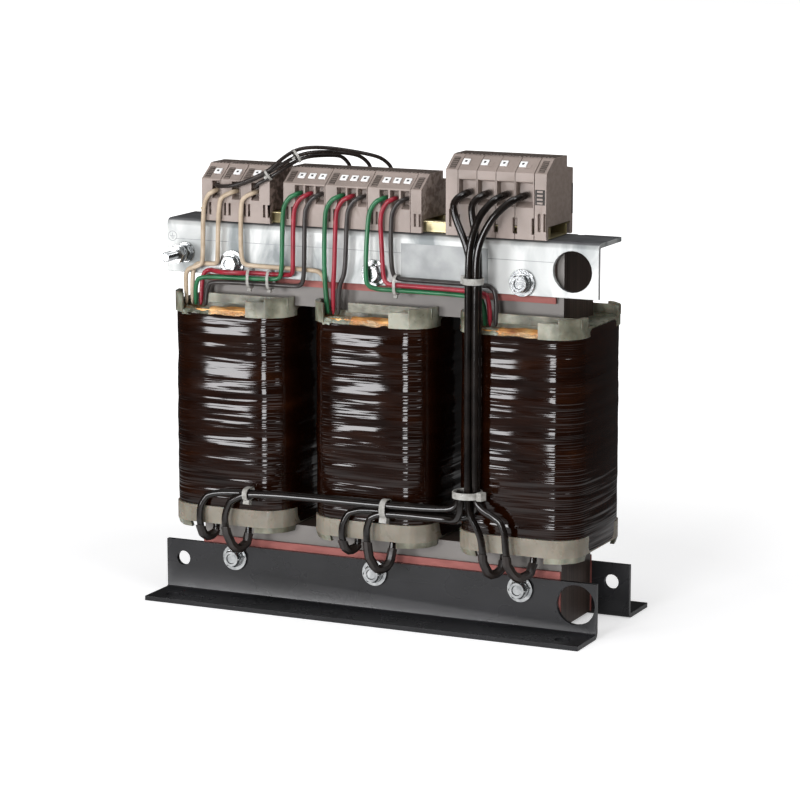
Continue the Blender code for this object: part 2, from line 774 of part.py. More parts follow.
def clamp_bolts():
    """Bolts right through the core, with washers at the head and at the nut."""
    skin = material("zinc_steel", STEEL, 0.3, 0.9)
    seat = SHEET_OUTER + CLEARANCE
    washer_end = seat + FLAT_WASHER_THICKNESS
    spring_end = washer_end + SPRING_WASHER_THICKNESS
    hex_end = spring_end + HEX_HEIGHT
    half = (
        (seat, BOLT_SHANK / 2, False),
        (seat, FLAT_WASHER / 2, False),
        (washer_end, FLAT_WASHER / 2, False),
        (washer_end, SPRING_WASHER / 2, False),
        (spring_end, SPRING_WASHER / 2, False),
        (spring_end, HEX_FLATS / 2, True),
        (hex_end, HEX_FLATS / 2, True),
    )
    head = [(-along, radius, hexagon) for along, radius, hexagon in reversed(half)]
    nut_end = washer_end + NUT_HEIGHT
    tail = (
        (seat, BOLT_SHANK / 2, False),
        (seat, FLAT_WASHER / 2, False),
        (washer_end, FLAT_WASHER / 2, False),
        (washer_end, HEX_FLATS / 2, True),
        (nut_end, HEX_FLATS / 2, True),
        (nut_end, BOLT_SHANK / 2, False),
        (nut_end + BOLT_END, BOLT_SHANK / 2, False),
    )
    stations = head + list(tail)
    for level, height in (("bottom", BOTTOM_BOLT_Z), ("top", TOP_BOLT_Z)):
        for column, place_name in ((-1, "left"), (0, "centre"), (1, "right")):
            shape = turned(stations, (column * LEG_PITCH, 0, height))
            smooth(place(f"clamp_bolt_{level}_{place_name}", shape, skin))


def earth_stud():
    """Earth screw through the top bracket's end, with its washers and nuts."""
    inside = -SHEET_INNER + CLEARANCE
    seat = -SHEET_OUTER - CLEARANCE
    first_washer = seat - FLAT_WASHER_THICKNESS
    first_nut = first_washer - HEX_HEIGHT
    second_washer = first_nut - EARTH_NUT_SPACE
    second_nut = second_washer - FLAT_WASHER_THICKNESS
    nut_end = second_nut - HEX_HEIGHT
    stations = (
        (-SHEET_OUTER - EARTH_REACH, BOLT_SHANK / 2, False),
        (nut_end, BOLT_SHANK / 2, False),
        (nut_end, HEX_FLATS / 2, True),
        (second_nut, HEX_FLATS / 2, True),
        (second_nut, SPRING_WASHER / 2, False),
        (second_washer, SPRING_WASHER / 2, False),
        (second_washer, BOLT_SHANK / 2, False),
        (first_nut, BOLT_SHANK / 2, False),
        (first_nut, HEX_FLATS / 2, True),
        (first_washer, HEX_FLATS / 2, True),
        (first_washer, EARTH_WASHER / 2, False),
        (seat, EARTH_WASHER / 2, False),
        (seat, BOLT_SHANK / 2, False),
        (inside, BOLT_SHANK / 2, False),
        (inside, HEX_FLATS / 2, True),
        (inside + HEX_HEIGHT, HEX_FLATS / 2, True),
    )
    shape = turned(stations, (EARTH_X, 0, EARTH_Z))
    smooth(place("earth_stud", shape, material("zinc_steel", STEEL, 0.3, 0.9)))


def coil(place_name, centre_x):
    """Former, inner winding and varnished outer winding on one leg."""
    bore_x = LEG_WIDTH / 2 + BORE_CLEARANCE
    bore_y = CORE_FRONT + BORE_CLEARANCE
    former(place_name, centre_x, bore_x, bore_y)
    tube_x = bore_x + TUBE_WALL + CLEARANCE
    tube_y = bore_y + TUBE_WALL + CLEARANCE
    wrap_x = WINDING_HALF_X - WRAP_THICKNESS
    wrap_y = WINDING_HALF_Y - WRAP_THICKNESS
    wrap_corner = WINDING_CORNER - WRAP_THICKNESS
    inner_x = wrap_x - CLEARANCE
    inner_y = wrap_y - CLEARANCE
    inner_top = WINDING_TOP + INNER_RISE
    shape = sleeve(
        (
            (inner_x, inner_y, wrap_corner, WINDING_BASE),
            (inner_x, inner_y, wrap_corner, inner_top),
            (tube_x, tube_y, TUBE_WALL, inner_top),
            (tube_x, tube_y, TUBE_WALL, WINDING_BASE),
        )
    )
    skin = material("copper_winding", COPPER, 0.35, 0.5)
    winding = place(f"inner_winding_{place_name}", shape, skin, (centre_x, 0, 0))
    left = BORE_CLEARANCE - FRONT_OPENING_LEFT
    right = FRONT_OPENING_RIGHT - BORE_CLEARANCE
    head = tube_y + BORE_CLEARANCE
    far_x = inner_x + OVERRUN
    far_y = inner_y + OVERRUN
    outline = (
        (-far_x, -far_y),
        (left, -far_y),
        (left, -head),
        (right, -head),
        (right, -far_y),
        (far_x, -far_y),
        (far_x, far_y),
        (right, far_y),
        (right, head),
        (left, head),
        (left, far_y),
        (-far_x, far_y),
    )
    trim = bmesh.new()
    heights = (WINDING_TOP, inner_top + OVERRUN)
    rings = [[trim.verts.new((x, y, height)) for x, y in outline] for height in heights]
    close_loft(trim, rings)
    smooth(combine(winding, trim, "end_turns"))
    shape = sleeve(
        (
            (WINDING_HALF_X, WINDING_HALF_Y, WINDING_CORNER, WINDING_BASE),
            (WINDING_HALF_X, WINDING_HALF_Y, WINDING_CORNER, WINDING_TOP),
            (wrap_x, wrap_y, wrap_corner, WINDING_TOP),
            (wrap_x, wrap_y, wrap_corner, WINDING_BASE),
        )
    )
    skin = material("varnished_wrap", VARNISH, 0.18)
    smooth(place(f"outer_winding_{place_name}", shape, skin, (centre_x, 0, 0)))


def former(place_name, centre_x, bore_x, bore_y):
    """Coil former: tube, two flanges, lips at the top corners and feet at the bottom ones."""
    outer = (FORMER_HALF_X, FORMER_HALF_Y, FORMER_CORNER)
    tube = (bore_x + TUBE_WALL, bore_y + TUBE_WALL, TUBE_WALL)
    bore = (bore_x, bore_y, BORE_CLEARANCE)
    lip = (FORMER_HALF_X - LIP_WALL, FORMER_HALF_Y - LIP_WALL, FORMER_CORNER - LIP_WALL)
    shape = sleeve(
        (
            (*bore, FORMER_BASE),
            (*lip, FORMER_BASE),
            (*lip, FORMER_BASE - FOOT_HEIGHT),
            (*outer, FORMER_BASE - FOOT_HEIGHT),
            (*outer, FORMER_BASE + BOTTOM_FLANGE),
            (*tube, FORMER_BASE + BOTTOM_FLANGE),
            (*tube, FORMER_TOP - TOP_FLANGE),
            (*outer, FORMER_TOP - TOP_FLANGE),
            (*outer, FORMER_TOP + LIP_HEIGHT),
            (*lip, FORMER_TOP + LIP_HEIGHT),
            (*lip, FORMER_TOP),
            (*bore, FORMER_TOP),
        )
    )
    skin = material("former_plastic", FORMER_GREY, 0.4)
    body = place(f"bobbin_{place_name}", shape, skin, (centre_x, 0, 0))
    cuts = bmesh.new()
    beyond_x = FORMER_HALF_X + OVERRUN
    beyond_y = FORMER_HALF_Y + OVERRUN
    clear_y = CORE_FRONT + LIP_CLEARANCE
    opening_y = bore_y + TUBE_WALL + CLEARANCE
    for low, high in (
        (FORMER_TOP, FORMER_TOP + LIP_HEIGHT + OVERRUN),
        (FORMER_BASE - FOOT_HEIGHT - OVERRUN, FORMER_BASE),
    ):
        add_box(cuts, (-beyond_x, beyond_x), (-clear_y, clear_y), (low, high))
    for side in (-1, 1):
        faces = sorted((side * opening_y, side * beyond_y))
        top_low = FORMER_TOP - TOP_FLANGE - CLEARANCE
        top_high = FORMER_TOP + LIP_HEIGHT + OVERRUN
        add_box(cuts, (-FRONT_OPENING_LEFT, FRONT_OPENING_RIGHT), faces, (top_low, top_high))
        feet_low = FORMER_BASE - FOOT_HEIGHT - OVERRUN
        add_box(cuts, (-FOOT_OPENING_LEFT, FOOT_OPENING_RIGHT), faces, (feet_low, FORMER_BASE))
    smooth(combine(body, cuts, "cuts"))


def rail():
    """Top-hat rail, screwed flat on the top bracket."""
    lip = RAIL_WIDTH / 2
    crown = RAIL_CROWN / 2
    top = RAIL_HEIGHT
    half = (
        (crown, 0),
        (crown, top - RAIL_SHEET),
        (lip, top - RAIL_SHEET),
        (lip, top),
        (crown - RAIL_SHEET, top),
        (crown - RAIL_SHEET, RAIL_SHEET),
    )
    outline = [*half, *((-y, z) for y, z in reversed(half))]
    outline = [(y + RAIL_Y, z + RAIL_BASE) for y, z in outline]
    shape = bmesh.new()
    add_prism(shape, outline, RAIL_LEFT, RAIL_RIGHT)
    place("din_rail", shape, material("yellow_zinc", YELLOW_ZINC, 0.35, 0.85))


def slope_shares(height):
    """Both ends of a terminal's front slope, as shares of its depth and height."""
    heights = LARGE_SLOPE_SHARES if height == LARGE_HEIGHT else SMALL_SLOPE_SHARES
    return list(zip(SLOPE_REACH_SHARES, heights))


def terminal_outline(height):
    """Side view of a terminal, with the channel that straddles the rail."""
    shares = [(SLOPE_REACH_SHARES[0], 0), *slope_shares(height), *CROWN_SHARES]
    outline = [(share_y * TERMINAL_DEPTH, share_z * height) for share_y, share_z in shares]
    channel = RAIL_WIDTH / 2 + CLEARANCE
    ceiling = RAIL_HEIGHT + CLEARANCE
    outline += [(channel, 0), (channel, ceiling), (-channel, ceiling), (-channel, 0)]
    return [(y + RAIL_Y, z + RAIL_BASE) for y, z in outline]


def terminal(name, left, height, poles, spacers, skin):
    """A rail terminal: wire entries front and back for each pole, marker pockets and slotted spacers."""
    right = max(end for start, end in list(poles) + list(spacers))
    shape = bmesh.new()
    add_prism(shape, terminal_outline(height), left + CLEARANCE / 2, right - CLEARANCE / 2)
    body = place(name, shape, skin)
    cuts = bmesh.new()
    for start, end in poles:
        for side in (-1, 1):
            entry = [(side * y * TERMINAL_DEPTH, z * height) for y, z in ENTRY_SHARES]
            entry[0] = (entry[0][0] + side * OVERRUN, entry[0][1])
            entry[-1] = (entry[-1][0] + side * OVERRUN, entry[-1][1])
            entry = [(y + RAIL_Y, z + RAIL_BASE) for y, z in entry]
            add_prism(cuts, entry, start + DIVIDER / 2, end - DIVIDER / 2)
        add_marker_pocket(cuts, (start + end) / 2, height)
    front = RAIL_Y - TERMINAL_DEPTH / 2
    for start, end in spacers:
        width = end - start
        heights = [RAIL_BASE + share * height for share in SLOT_HEIGHT_SHARES]
        for low, high in SLOT_WIDTH_SHARES:
            slot = (start + low * width, start + high * width)
            add_box(cuts, slot, (front - OVERRUN, front + SLOT_DEPTH), heights)
    combine(body, cuts, "cuts")


def add_marker_pocket(shape, middle, height):
    """Adds the shallow square pocket for a marker on the front slope."""
    low, high = (Vector((y * TERMINAL_DEPTH, z * height)) for y, z in slope_shares(height))
    along = (high - low).normalized()
    outward = Vector((-along.y, along.x))
    centre = (low + high) / 2 + Vector((RAIL_Y, RAIL_BASE))
    half = along * MARKER_SIZE / 2
    outline = (
        centre - half - outward * MARKER_DEPTH,
        centre + half - outward * MARKER_DEPTH,
        centre + half + outward * OVERRUN,
        centre - half + outward * OVERRUN,
    )
    add_prism(shape, [tuple(point) for point in outline], middle - MARKER_SIZE / 2, middle + MARKER_SIZE / 2)


def terminals():
    """Three groups on the rail: signal, phase and power terminals."""
    skin = material("terminal_plastic", TAUPE, 0.55)
    left = RAIL_LEFT + RAIL_END
    for index in (1, 2, 3):
        pole_start = left + SIGNAL_SPACER
        pole_end = pole_start + SIGNAL_POLE
        spacers = [(left, pole_start)]
        if index == 3:
            spacers.append((pole_end, pole_end + SIGNAL_SPACER))
        terminal(f"signal_terminal_{index}", left, SMALL_HEIGHT, [(pole_start, pole_end)], spacers, skin)
        left = pole_end
    left += SIGNAL_SPACER + PHASE_GAP
    for index in (1, 2, 3):
        first = left + PHASE_SPACER
        poles = [(first + pole * PHASE_POLE, first + (pole + 1) * PHASE_POLE) for pole in range(3)]
        terminal(f"phase_terminal_{index}", left, SMALL_HEIGHT, poles, [(left, first)], skin)
        left = poles[-1][1]
    terminal("phase_end_clamp", left, SMALL_HEIGHT, [], [(left, left + PHASE_SPACER)], skin)
    left += PHASE_SPACER + POWER_GAP
    terminal("power_end_clamp_left", left, LARGE_HEIGHT, [], [(left, left + POWER_CLAMP)], skin)
    left += POWER_CLAMP
    for index in (1, 2, 3, 4):
        pole = (left, left + POWER_POLE)
        terminal(f"power_terminal_{index}", left, LARGE_HEIGHT, [pole], [], skin)
        left += POWER_POLE
    terminal("power_end_clamp_right", left, LARGE_HEIGHT, [], [(left, left + POWER_CLAMP)], skin)


def eased(points, bend):
    """Rounds the corners of a route with short arcs."""
    route = [Vector(point) for point in points]
    result = [route[0]]
    for before, here, after in zip(route, route[1:], route[2:]):
        inward = here - before
        outward = after - here
        turn = inward.angle(outward)
        if turn < SLIGHT_TURN:
            result.append(here)
            continue
        reach = min(bend, inward.length * BEND_SHARE, outward.length * BEND_SHARE)
        steps = math.ceil(turn / ARC_TURN)
        start = here - inward.normalized() * reach
        end = here + outward.normalized() * reach
        for step in range(steps + 1):
            share = step / steps
            result.append(start.lerp(here, share).lerp(here.lerp(end, share), share))
    result.append(route[-1])
    return result


def lead(name, points, diameter, skin, bend):
    """An insulated lead: a round tube with closed ends along its route."""
    curve = bpy.data.curves.new(name, "CURVE")
    curve.dimensions = "3D"
    curve.bevel_depth = diameter / 2
    curve.bevel_resolution = 2
    curve.use_fill_caps = True
    route = eased(points, bend)
    spline = curve.splines.new("POLY")
    spline.points.add(len(route) - 1)
    for target, point in zip(spline.points, route):
        target.co = (*point, 1.0)
    spline.use_smooth = True
    curve.materials.append(skin)
    item = bpy.data.objects.new(name, curve)
    bpy.context.scene.collection.objects.link(item)


def leads():
    """All the leads, from the terminals to the coils."""
    for name, points in SIGNAL_LEADS.items():
        lead(name, points, SMALL_WIRE, material("beige_sleeve", BEIGE, 0.5), TIGHT_BEND)
    colours = {"green": GREEN, "red": RED, "black": GREY_BLACK}
    for name, points in TAP_LEADS.items():
        colour = name.rsplit("_", 1)[1]
        lead(name, points, SMALL_WIRE, material(f"{colour}_sleeve", colours[colour], 0.35), TIGHT_BEND)
    gloss = material("gloss_black_sleeve", GLOSS_BLACK, 0.22)
    for name, points in {**POWER_LEADS, **STAR_LINKS}.items():
        lead(name, points, POWER_WIRE, gloss, WIRE_BEND)
    for name, points in SIGNAL_LINKS.items():
        lead(name, points, THIN_WIRE, material("thin_black_sleeve", GREY_BLACK, 0.4), TIGHT_BEND)


def main():
    clear_scene()
    core()
    strips()
    bottom_brackets()
    top_bracket()
    rear_bar()
    clamp_bolts()
    earth_stud()
    for place_name, column in (("left", -1), ("centre", 0), ("right", 1)):
        coil(place_name, column * LEG_PITCH)
    rail()
    terminals()
    leads()


main()
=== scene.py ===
"""Looks of the open three-phase control transformer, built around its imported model.

Metres, X along the core, Y from front to back, Z up. Each function makes one kind of piece.
"""
import math
from collections import namedtuple

import bmesh
import bpy
from mathutils import Matrix, Vector, noise


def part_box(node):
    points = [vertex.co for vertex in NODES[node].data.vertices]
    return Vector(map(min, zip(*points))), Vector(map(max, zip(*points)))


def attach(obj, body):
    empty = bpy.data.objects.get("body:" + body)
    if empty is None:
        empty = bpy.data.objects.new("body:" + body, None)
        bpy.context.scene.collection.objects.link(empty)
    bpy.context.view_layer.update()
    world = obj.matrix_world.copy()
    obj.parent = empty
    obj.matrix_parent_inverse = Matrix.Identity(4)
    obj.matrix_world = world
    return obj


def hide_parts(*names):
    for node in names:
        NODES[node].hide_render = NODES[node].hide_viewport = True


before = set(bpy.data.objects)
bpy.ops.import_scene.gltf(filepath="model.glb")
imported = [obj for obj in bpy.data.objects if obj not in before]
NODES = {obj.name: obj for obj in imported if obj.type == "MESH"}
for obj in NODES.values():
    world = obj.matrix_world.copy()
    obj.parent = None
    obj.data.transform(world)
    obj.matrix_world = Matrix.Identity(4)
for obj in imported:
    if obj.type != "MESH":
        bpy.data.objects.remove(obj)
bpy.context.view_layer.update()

# Shared values
SIDES = ("left", "centre", "right")
LEVELS = ("bottom", "top")
FACES = {-1: "front", 1: "back"}
PLATE_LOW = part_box("top_bracket")[0]
PLATE_FACE = PLATE_LOW.y
WELD = 0.000001
FLAT_ANGLE = math.radians(2)
SHARP_ANGLE = math.radians(32)
QUAD_ANGLE = math.radians(30)
SKIN_GAP = 0.00005
TRIM_EDGE = 0.0003


def link(item):
    """Puts an object into the scene."""
    bpy.context.scene.collection.objects.link(item)
    return item


def to_mesh(name, shape):
    """Turns a bmesh into a mesh whose faces look outwards."""
    bmesh.ops.recalc_face_normals(shape, faces=shape.faces)
    mesh = bpy.data.meshes.new(name)
    shape.to_mesh(mesh)
    shape.free()
    return mesh


def shade(mesh):
    """Shades a mesh smooth up to its sharp edges."""
    mesh.shade_smooth()
    mesh.set_sharp_from_angle(angle=SHARP_ANGLE)


def piece(name, shape, skin, slot, *nodes):
    """Turns a bmesh into a piece of the object that stands for the named solids."""
    mesh = to_mesh(name, shape)
    mesh.materials.append(skin)
    shade(mesh)
    item = link(bpy.data.objects.new(name, mesh))
    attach(item, "root")
    if nodes:
        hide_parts(*nodes)
    return item


def solid(node, skin):
    """Gives a finish to a solid that keeps its own shape."""
    materials = NODES[node].data.materials
    materials.clear()
    materials.append(skin)


def welded(node):
    """A welded copy of a solid's mesh."""
    shape = bmesh.new()
    shape.from_mesh(NODES[node].data)
    bmesh.ops.remove_doubles(shape, verts=shape.verts, dist=WELD)
    return shape


def copied(node):
    """A welded copy of a solid's mesh, with its flat faces joined up."""
    shape = welded(node)
    bmesh.ops.dissolve_limit(shape, angle_limit=FLAT_ANGLE, verts=shape.verts, edges=shape.edges)
    return shape


def tube_copy(node):
    """A welded copy of a lead's mesh, with its triangles joined to quads."""
    shape = welded(node)
    bmesh.ops.recalc_face_normals(shape, faces=shape.faces)
    bmesh.ops.join_triangles(
        shape, faces=shape.faces, angle_face_threshold=QUAD_ANGLE, angle_shape_threshold=math.pi
    )
    return shape


def swell(shape, growth):
    """Moves every point of a bmesh outwards."""
    shape.normal_update()
    for vert in shape.verts:
        vert.co += vert.normal * growth


def split(shape, place, direction, **options):
    """Splits a bmesh along a plane."""
    whole = shape.verts[:] + shape.edges[:] + shape.faces[:]
    bmesh.ops.bisect_plane(shape, geom=whole, plane_co=place, plane_no=direction, **options)


def soften(item, width, segments=2):
    """Rounds the edges of a piece a little."""
    bevel = item.modifiers.new("edges", "BEVEL")
    bevel.width = width
    bevel.segments = segments
    bevel.limit_method = "ANGLE"
    bevel.angle_limit = SHARP_ANGLE
    bevel.harden_normals = True


def cut(item, shape, label):
    """Cuts a helper shape out of a piece and drops the helper."""
    helper = link(bpy.data.objects.new(label, to_mesh(label, shape)))
    step = item.modifiers.new(label, "BOOLEAN")
    step.operation = "DIFFERENCE"
    step.solver = "EXACT"
    step.object = helper
    bpy.context.view_layer.update()
    graph = bpy.context.evaluated_depsgraph_get()
    item_mesh = bpy.data.meshes.new_from_object(item.evaluated_get(graph))
    item.modifiers.clear()
    item.data = item_mesh
    bpy.data.objects.remove(helper)
    shade(item_mesh)


def add_cube(shape, centre, size, turn=Matrix()):
    """Adds a box of this size round a centre."""
    matrix = Matrix.Translation(centre) @ turn @ Matrix.Diagonal((*size, 1))
    bmesh.ops.create_cube(shape, size=1, matrix=matrix)


def add_box(shape, low, high):
    """Adds a box between two corners."""
    spans = list(zip(low, high))
    add_cube(shape, [(a + b) / 2 for a, b in spans], [abs(b - a) for a, b in spans])


def circle(sides):
    """Evenly spread angles with their cosines and sines."""
    angles = [2 * math.pi * step / sides for step in range(sides)]
    return [(angle, math.cos(angle), math.sin(angle)) for angle in angles]


def skin_rings(rings, shape=None, closed_rings=True, cap=True, endless=False):
    """Joins rows of points into a surface, in a new bmesh unless one is given."""
    shape = shape or bmesh.new()
    rows = [[shape.verts.new(point) for point in ring] for ring in rings]
    pairs = list(zip(rows, rows[1:]))
    if endless:
        pairs.append((rows[-1], rows[0]))
    for lower, upper in pairs:
        last = len(lower) if closed_rings else len(lower) - 1
        for index in range(last):
            after = (index + 1) % len(lower)
            shape.faces.new((lower[index], lower[after], upper[after], upper[index]))
    if cap and not endless:
        shape.faces.new(rows[0][::-1])
        shape.faces.new(rows[-1])
    return shape


def lump(*place):
    """Smooth noise at one point, from -1 to 1."""
    return noise.noise(Vector(place))


# Finishes
# A mix node's inputs for the share and what it mixes, as values and as colours, and its colour output
MIX_VALUES = (0, 2, 3)
MIX_COLOURS = (0, 6, 7)
MIX_COLOUR = 2
RANGE_ENDS = ("From Min", "From Max", "To Min", "To Max")


class Tree:
    """A tree of shader nodes, with short ways to add them."""

    def __init__(self, tree):
        self.tree = tree

    def feed(self, value, socket):
        """Links an input to an output, or sets it to a number, a vector or a colour."""
        if isinstance(value, bpy.types.NodeSocket):
            self.tree.links.new(value, socket)
        elif isinstance(value, tuple):
            socket.default_value = (*value, 1)[:len(socket.default_value)]
        else:
            socket.default_value = value

    def node(self, kind, inputs=(), **values):
        """Adds a node, sets its own values and feeds its inputs."""
        made = self.tree.nodes.new("ShaderNode" + kind)
        for key, value in values.items():
            setattr(made, key, value)
        for key, value in dict(inputs).items():
            self.feed(value, made.inputs[key])
        return made

    def axis(self, source, name):
        """One coordinate of a vector."""
        return self.node("SeparateXYZ", {"Vector": source}).outputs[name]

    def math(self, operation, *values):
        """One sum."""
        return self.node("Math", enumerate(values), operation=operation).outputs[0]

    def spread(self, source, levels, reach=(0.0, 1.0)):
        """Moves values from a range to the two levels."""
        ends = dict(zip(RANGE_ENDS, reach + levels))
        return self.node("MapRange", {"Value": source, **ends}).outputs["Result"]

    def choose(self, *values):
        """Goes by the first value from the second to the third."""
        return self.node("Mix", zip(MIX_VALUES, values)).outputs[0]

    def mix(self, *values, blend="MIX"):
        """Goes by the first value from the second colour to the third."""
        inputs = zip(MIX_COLOURS, values)
        made = self.node("Mix", inputs, data_type="RGBA", blend_type=blend)
        return made.outputs[MIX_COLOUR]

    def ramp(self, source, stops):
        """Maps values to colours or greys at the given stops."""
        made = self.node("ValToRGB", {"Fac": source})
        elements = made.color_ramp.elements
        while len(elements) < len(stops):
            elements.new(1.0)
        for element, (place, colour) in zip(elements, stops):
            element.position = place
            grey = isinstance(colour, float)
            element.color = (colour, colour, colour, 1) if grey else (*colour, 1)
        return made.outputs["Color"]


class Finish(Tree):
    """A Principled material that takes its looks from textures in object space."""

    def __init__(self, name, roughness, metallic=0.0, **sockets):
        self.material = bpy.data.materials.new(name)
        self.material.use_nodes = True
        super().__init__(self.material.node_tree)
        self.inputs = self.tree.nodes["Principled BSDF"].inputs
        for socket, value in dict(sockets, Roughness=roughness, Metallic=metallic).items():
            self.inputs[socket.replace("_", " ")].default_value = value
        self.place = self.node("TexCoord").outputs["Object"]
        self.height = None

    def texture(self, kind, lumps, **inputs):
        """A texture in object space with this many lumps a metre."""
        scale = lumps if isinstance(lumps, tuple) else (lumps,) * 3
        mapping = self.node("Mapping", {"Vector": self.place, "Scale": scale})
        inputs.update(Vector=mapping.outputs["Vector"], Scale=1.0)
        return self.node(kind, inputs).outputs

    def noise(self, lumps, detail=3.0, distortion=0.0):
        """Cloudy values from 0 to 1."""
        return self.texture("TexNoise", lumps, Detail=detail, Distortion=distortion)["Fac"]

    def cells(self, lumps):
        """Distances in a pattern of cells."""
        return self.texture("TexVoronoi", lumps)["Distance"]

    def facing(self, axis):
        """How much the surface faces along an axis, from 0 to 1."""
        normal = self.node("NewGeometry").outputs["Normal"]
        return self.math("ABSOLUTE", self.axis(normal, axis))

    def distance(self, reach, levels):
        """A value that changes with the distance from the origin."""
        length = self.node("VectorMath", {0: self.place}, operation="LENGTH")
        return self.spread(length.outputs["Value"], levels, reach)

    def colour(self, source):
        """Takes the base colour from an output."""
        self.feed(source, self.inputs["Base Color"])

    def gloss(self, source, low, high):
        """Lets roughness run from low to high."""
        self.feed(self.spread(source, (low, high)), self.inputs["Roughness"])

    def relief(self, source, depth, strength=1.0):
        """Adds a bump of this depth in metres."""
        inputs = {"Distance": depth, "Strength": strength, "Height": source}
        if self.height:
            inputs["Normal"] = self.height
        self.height = self.node("Bump", inputs).outputs["Normal"]
        self.feed(self.height, self.inputs["Normal"])


CLOUD_ENDS = (0.3, 0.7)
GLOSS_SPREAD = (0.8, 1.25)
GLOSS_LUMPS = 3


def two_colours(dark, light, ends=CLOUD_ENDS):
    """Ramp stops for a plain change between two colours."""
    return tuple(zip(ends, (dark, light)))


# Finishes with two colours: dark, light, roughness, lumps a metre, metallic, the grain's lumps and depth
Plain = namedtuple("Plain", "dark light roughness lumps metallic grain", defaults=(0.0, None))
RUBBER_GRAIN = (500, 0.00004)
PLAIN = {
    "plated_fasteners": Plain((0.26, 0.27, 0.275), (0.52, 0.53, 0.53), 0.22, 220, 1.0),
    "tie_nylon": Plain((0.36, 0.35, 0.32), (0.58, 0.57, 0.54), 0.25, 300),
    "rung_brown": Plain((0.1, 0.078, 0.066), (0.17, 0.135, 0.116), 0.5, 300),
    "marker_white": Plain((0.78, 0.78, 0.77), (0.88, 0.88, 0.87), 0.4, 300),
    # Painted shade for holes, sunk strips and a shadowed edge that are drawn flat
    "painted_recess_shade": Plain((0.014, 0.011, 0.009), (0.035, 0.028, 0.024), 0.6, 300),
    "yellow_passivated": Plain((0.42, 0.35, 0.17), (0.66, 0.58, 0.36), 0.36, 60, 0.8),
    "plate_foil": Plain((0.24, 0.25, 0.25), (0.36, 0.37, 0.365), 0.5, 80, 0.3, (500, 0.00002)),
    "scribe_grey": Plain((0.18, 0.19, 0.2), (0.32, 0.33, 0.34), 0.5, 200),
    "lead_gloss_black": Plain(
        (0.003, 0.0022, 0.0018), (0.011, 0.008, 0.0066), 0.14, 90, 0.0, (260, 0.00008)
    ),
    "shrink_sleeve_black": Plain(
        (0.007, 0.0048, 0.004), (0.02, 0.014, 0.0115), 0.36, 120, 0.0, (700, 0.00006)
    ),
    "lead_beige_sleeve": Plain((0.36, 0.275, 0.185), (0.52, 0.42, 0.31), 0.5, 110, 0.0, (1800, 0.0001)),
    "lead_green_sleeve": Plain(
        (0.008, 0.08, 0.028), (0.018, 0.15, 0.058), 0.3, 110, 0.0, RUBBER_GRAIN
    ),
    "lead_red_sleeve": Plain((0.2, 0.008, 0.018), (0.32, 0.018, 0.034), 0.3, 110, 0.0, RUBBER_GRAIN),
    "lead_black_sleeve": Plain(
        (0.022, 0.018, 0.017), (0.044, 0.038, 0.035), 0.3, 110, 0.0, RUBBER_GRAIN
    ),
    "lead_thin_black_sleeve": Plain(
        (0.01, 0.007, 0.006), (0.026, 0.019, 0.016), 0.28, 110, 0.0, RUBBER_GRAIN
    ),
}


def plain_skin(name, **sockets):
    """A finish from the table, with soft variation between two colours and a fine grain."""
    dark, light, roughness, lumps, metallic, grain = PLAIN[name]
    made = Finish(name, roughness, metallic, **sockets)
    made.colour(made.ramp(made.noise(lumps), two_colours(dark, light)))
    low, high = (roughness * share for share in GLOSS_SPREAD)
    made.gloss(made.noise(lumps * GLOSS_LUMPS), low, min(1.0, high))
    if grain:
        count, depth = grain
        made.relief(made.noise(count, detail=2.0), depth)
    return made.material


CORE_FRONT = two_colours((0.115, 0.106, 0.098), (0.185, 0.172, 0.16))
# Cut edges: real sheet lines over a darker brown that is partly painted shade
CORE_EDGE_SHADE = two_colours((0.028, 0.018, 0.014), (0.085, 0.058, 0.046), (0.35, 0.65))
SHEET_LINE_DEPTH = 0.0002


def lamination_skin():
    """Varnished sheet stack: plain on the front and finely lined on the cut edges, which are darker
    partly as painted shade.
    """
    made = Finish("core_sheet_stack", roughness=0.42, metallic=0.25)
    front = made.ramp(made.noise((14, 14, 22), detail=5.0), CORE_FRONT)
    lines = made.noise((3, 1500, 3), detail=1.0)
    # Partly painted shade: every face that doesn't look along Y takes the darker edge colour
    made.colour(made.mix(made.facing("Y"), made.ramp(lines, CORE_EDGE_SHADE), front))
    made.relief(lines, SHEET_LINE_DEPTH, strength=0.6)
    return made.material


WRAP_BROWN = (
    (0.25, (0.0036, 0.0008, 0.0002)),
    (0.6, (0.0105, 0.0026, 0.0007)),
    (0.85, (0.024, 0.0068, 0.0018)),
)
WAVE_BUMP = 0.0012
CREASE_BUMP = 0.0008
FINE_BUMP = 0.00012
DASH_BUMP = 0.0012
SLACK_LEAN = 0.088
SLACK_SHAPE_SHARE = 0.5
# Start, end and lean of each slack band, as shares of the winding's height and of the full lean
SLACK_BANDS = {
    "left": (
        (0.14, 0.16, 0.8), (0.25, 0.27, 0.8), (0.34, 0.42, 0.7), (0.44, 0.53, 0.9),
        (0.605, 0.78, 1.0), (0.9, 0.94, 0.9),
    ),
    "centre": (
        (0.136, 0.167, 1.0), (0.44, 0.505, 1.0), (0.52, 0.59, 0.6), (0.65, 0.74, 1.0),
        (0.78, 0.8, 0.7), (0.85, 0.87, 0.9), (0.9, 0.96, 1.0),
    ),
    "right": (
        (0.43, 0.48, 1.0), (0.51, 0.52, 0.8), (0.555, 0.57, 0.8), (0.595, 0.605, 0.8),
        (0.62, 0.64, 0.9), (0.69, 0.73, 1.0), (0.795, 0.815, 1.0), (0.93, 0.945, 0.9),
    ),
}


def slack_total(side):
    """The lean of all bands of a coil together."""
    return sum((end - start) * lean for start, end, lean in SLACK_BANDS[side])


def slack_height(side, share):
    """How far the bands move the film outwards at one height, both as shares of the winding's height."""
    passed = sum(max(0.0, min(share, end) - start) * lean for start, end, lean in SLACK_BANDS[side])
    risen = slack_total(side) * min(1.0, max(0.0, share))
    return SLACK_LEAN * SLACK_SHAPE_SHARE * (risen - passed)


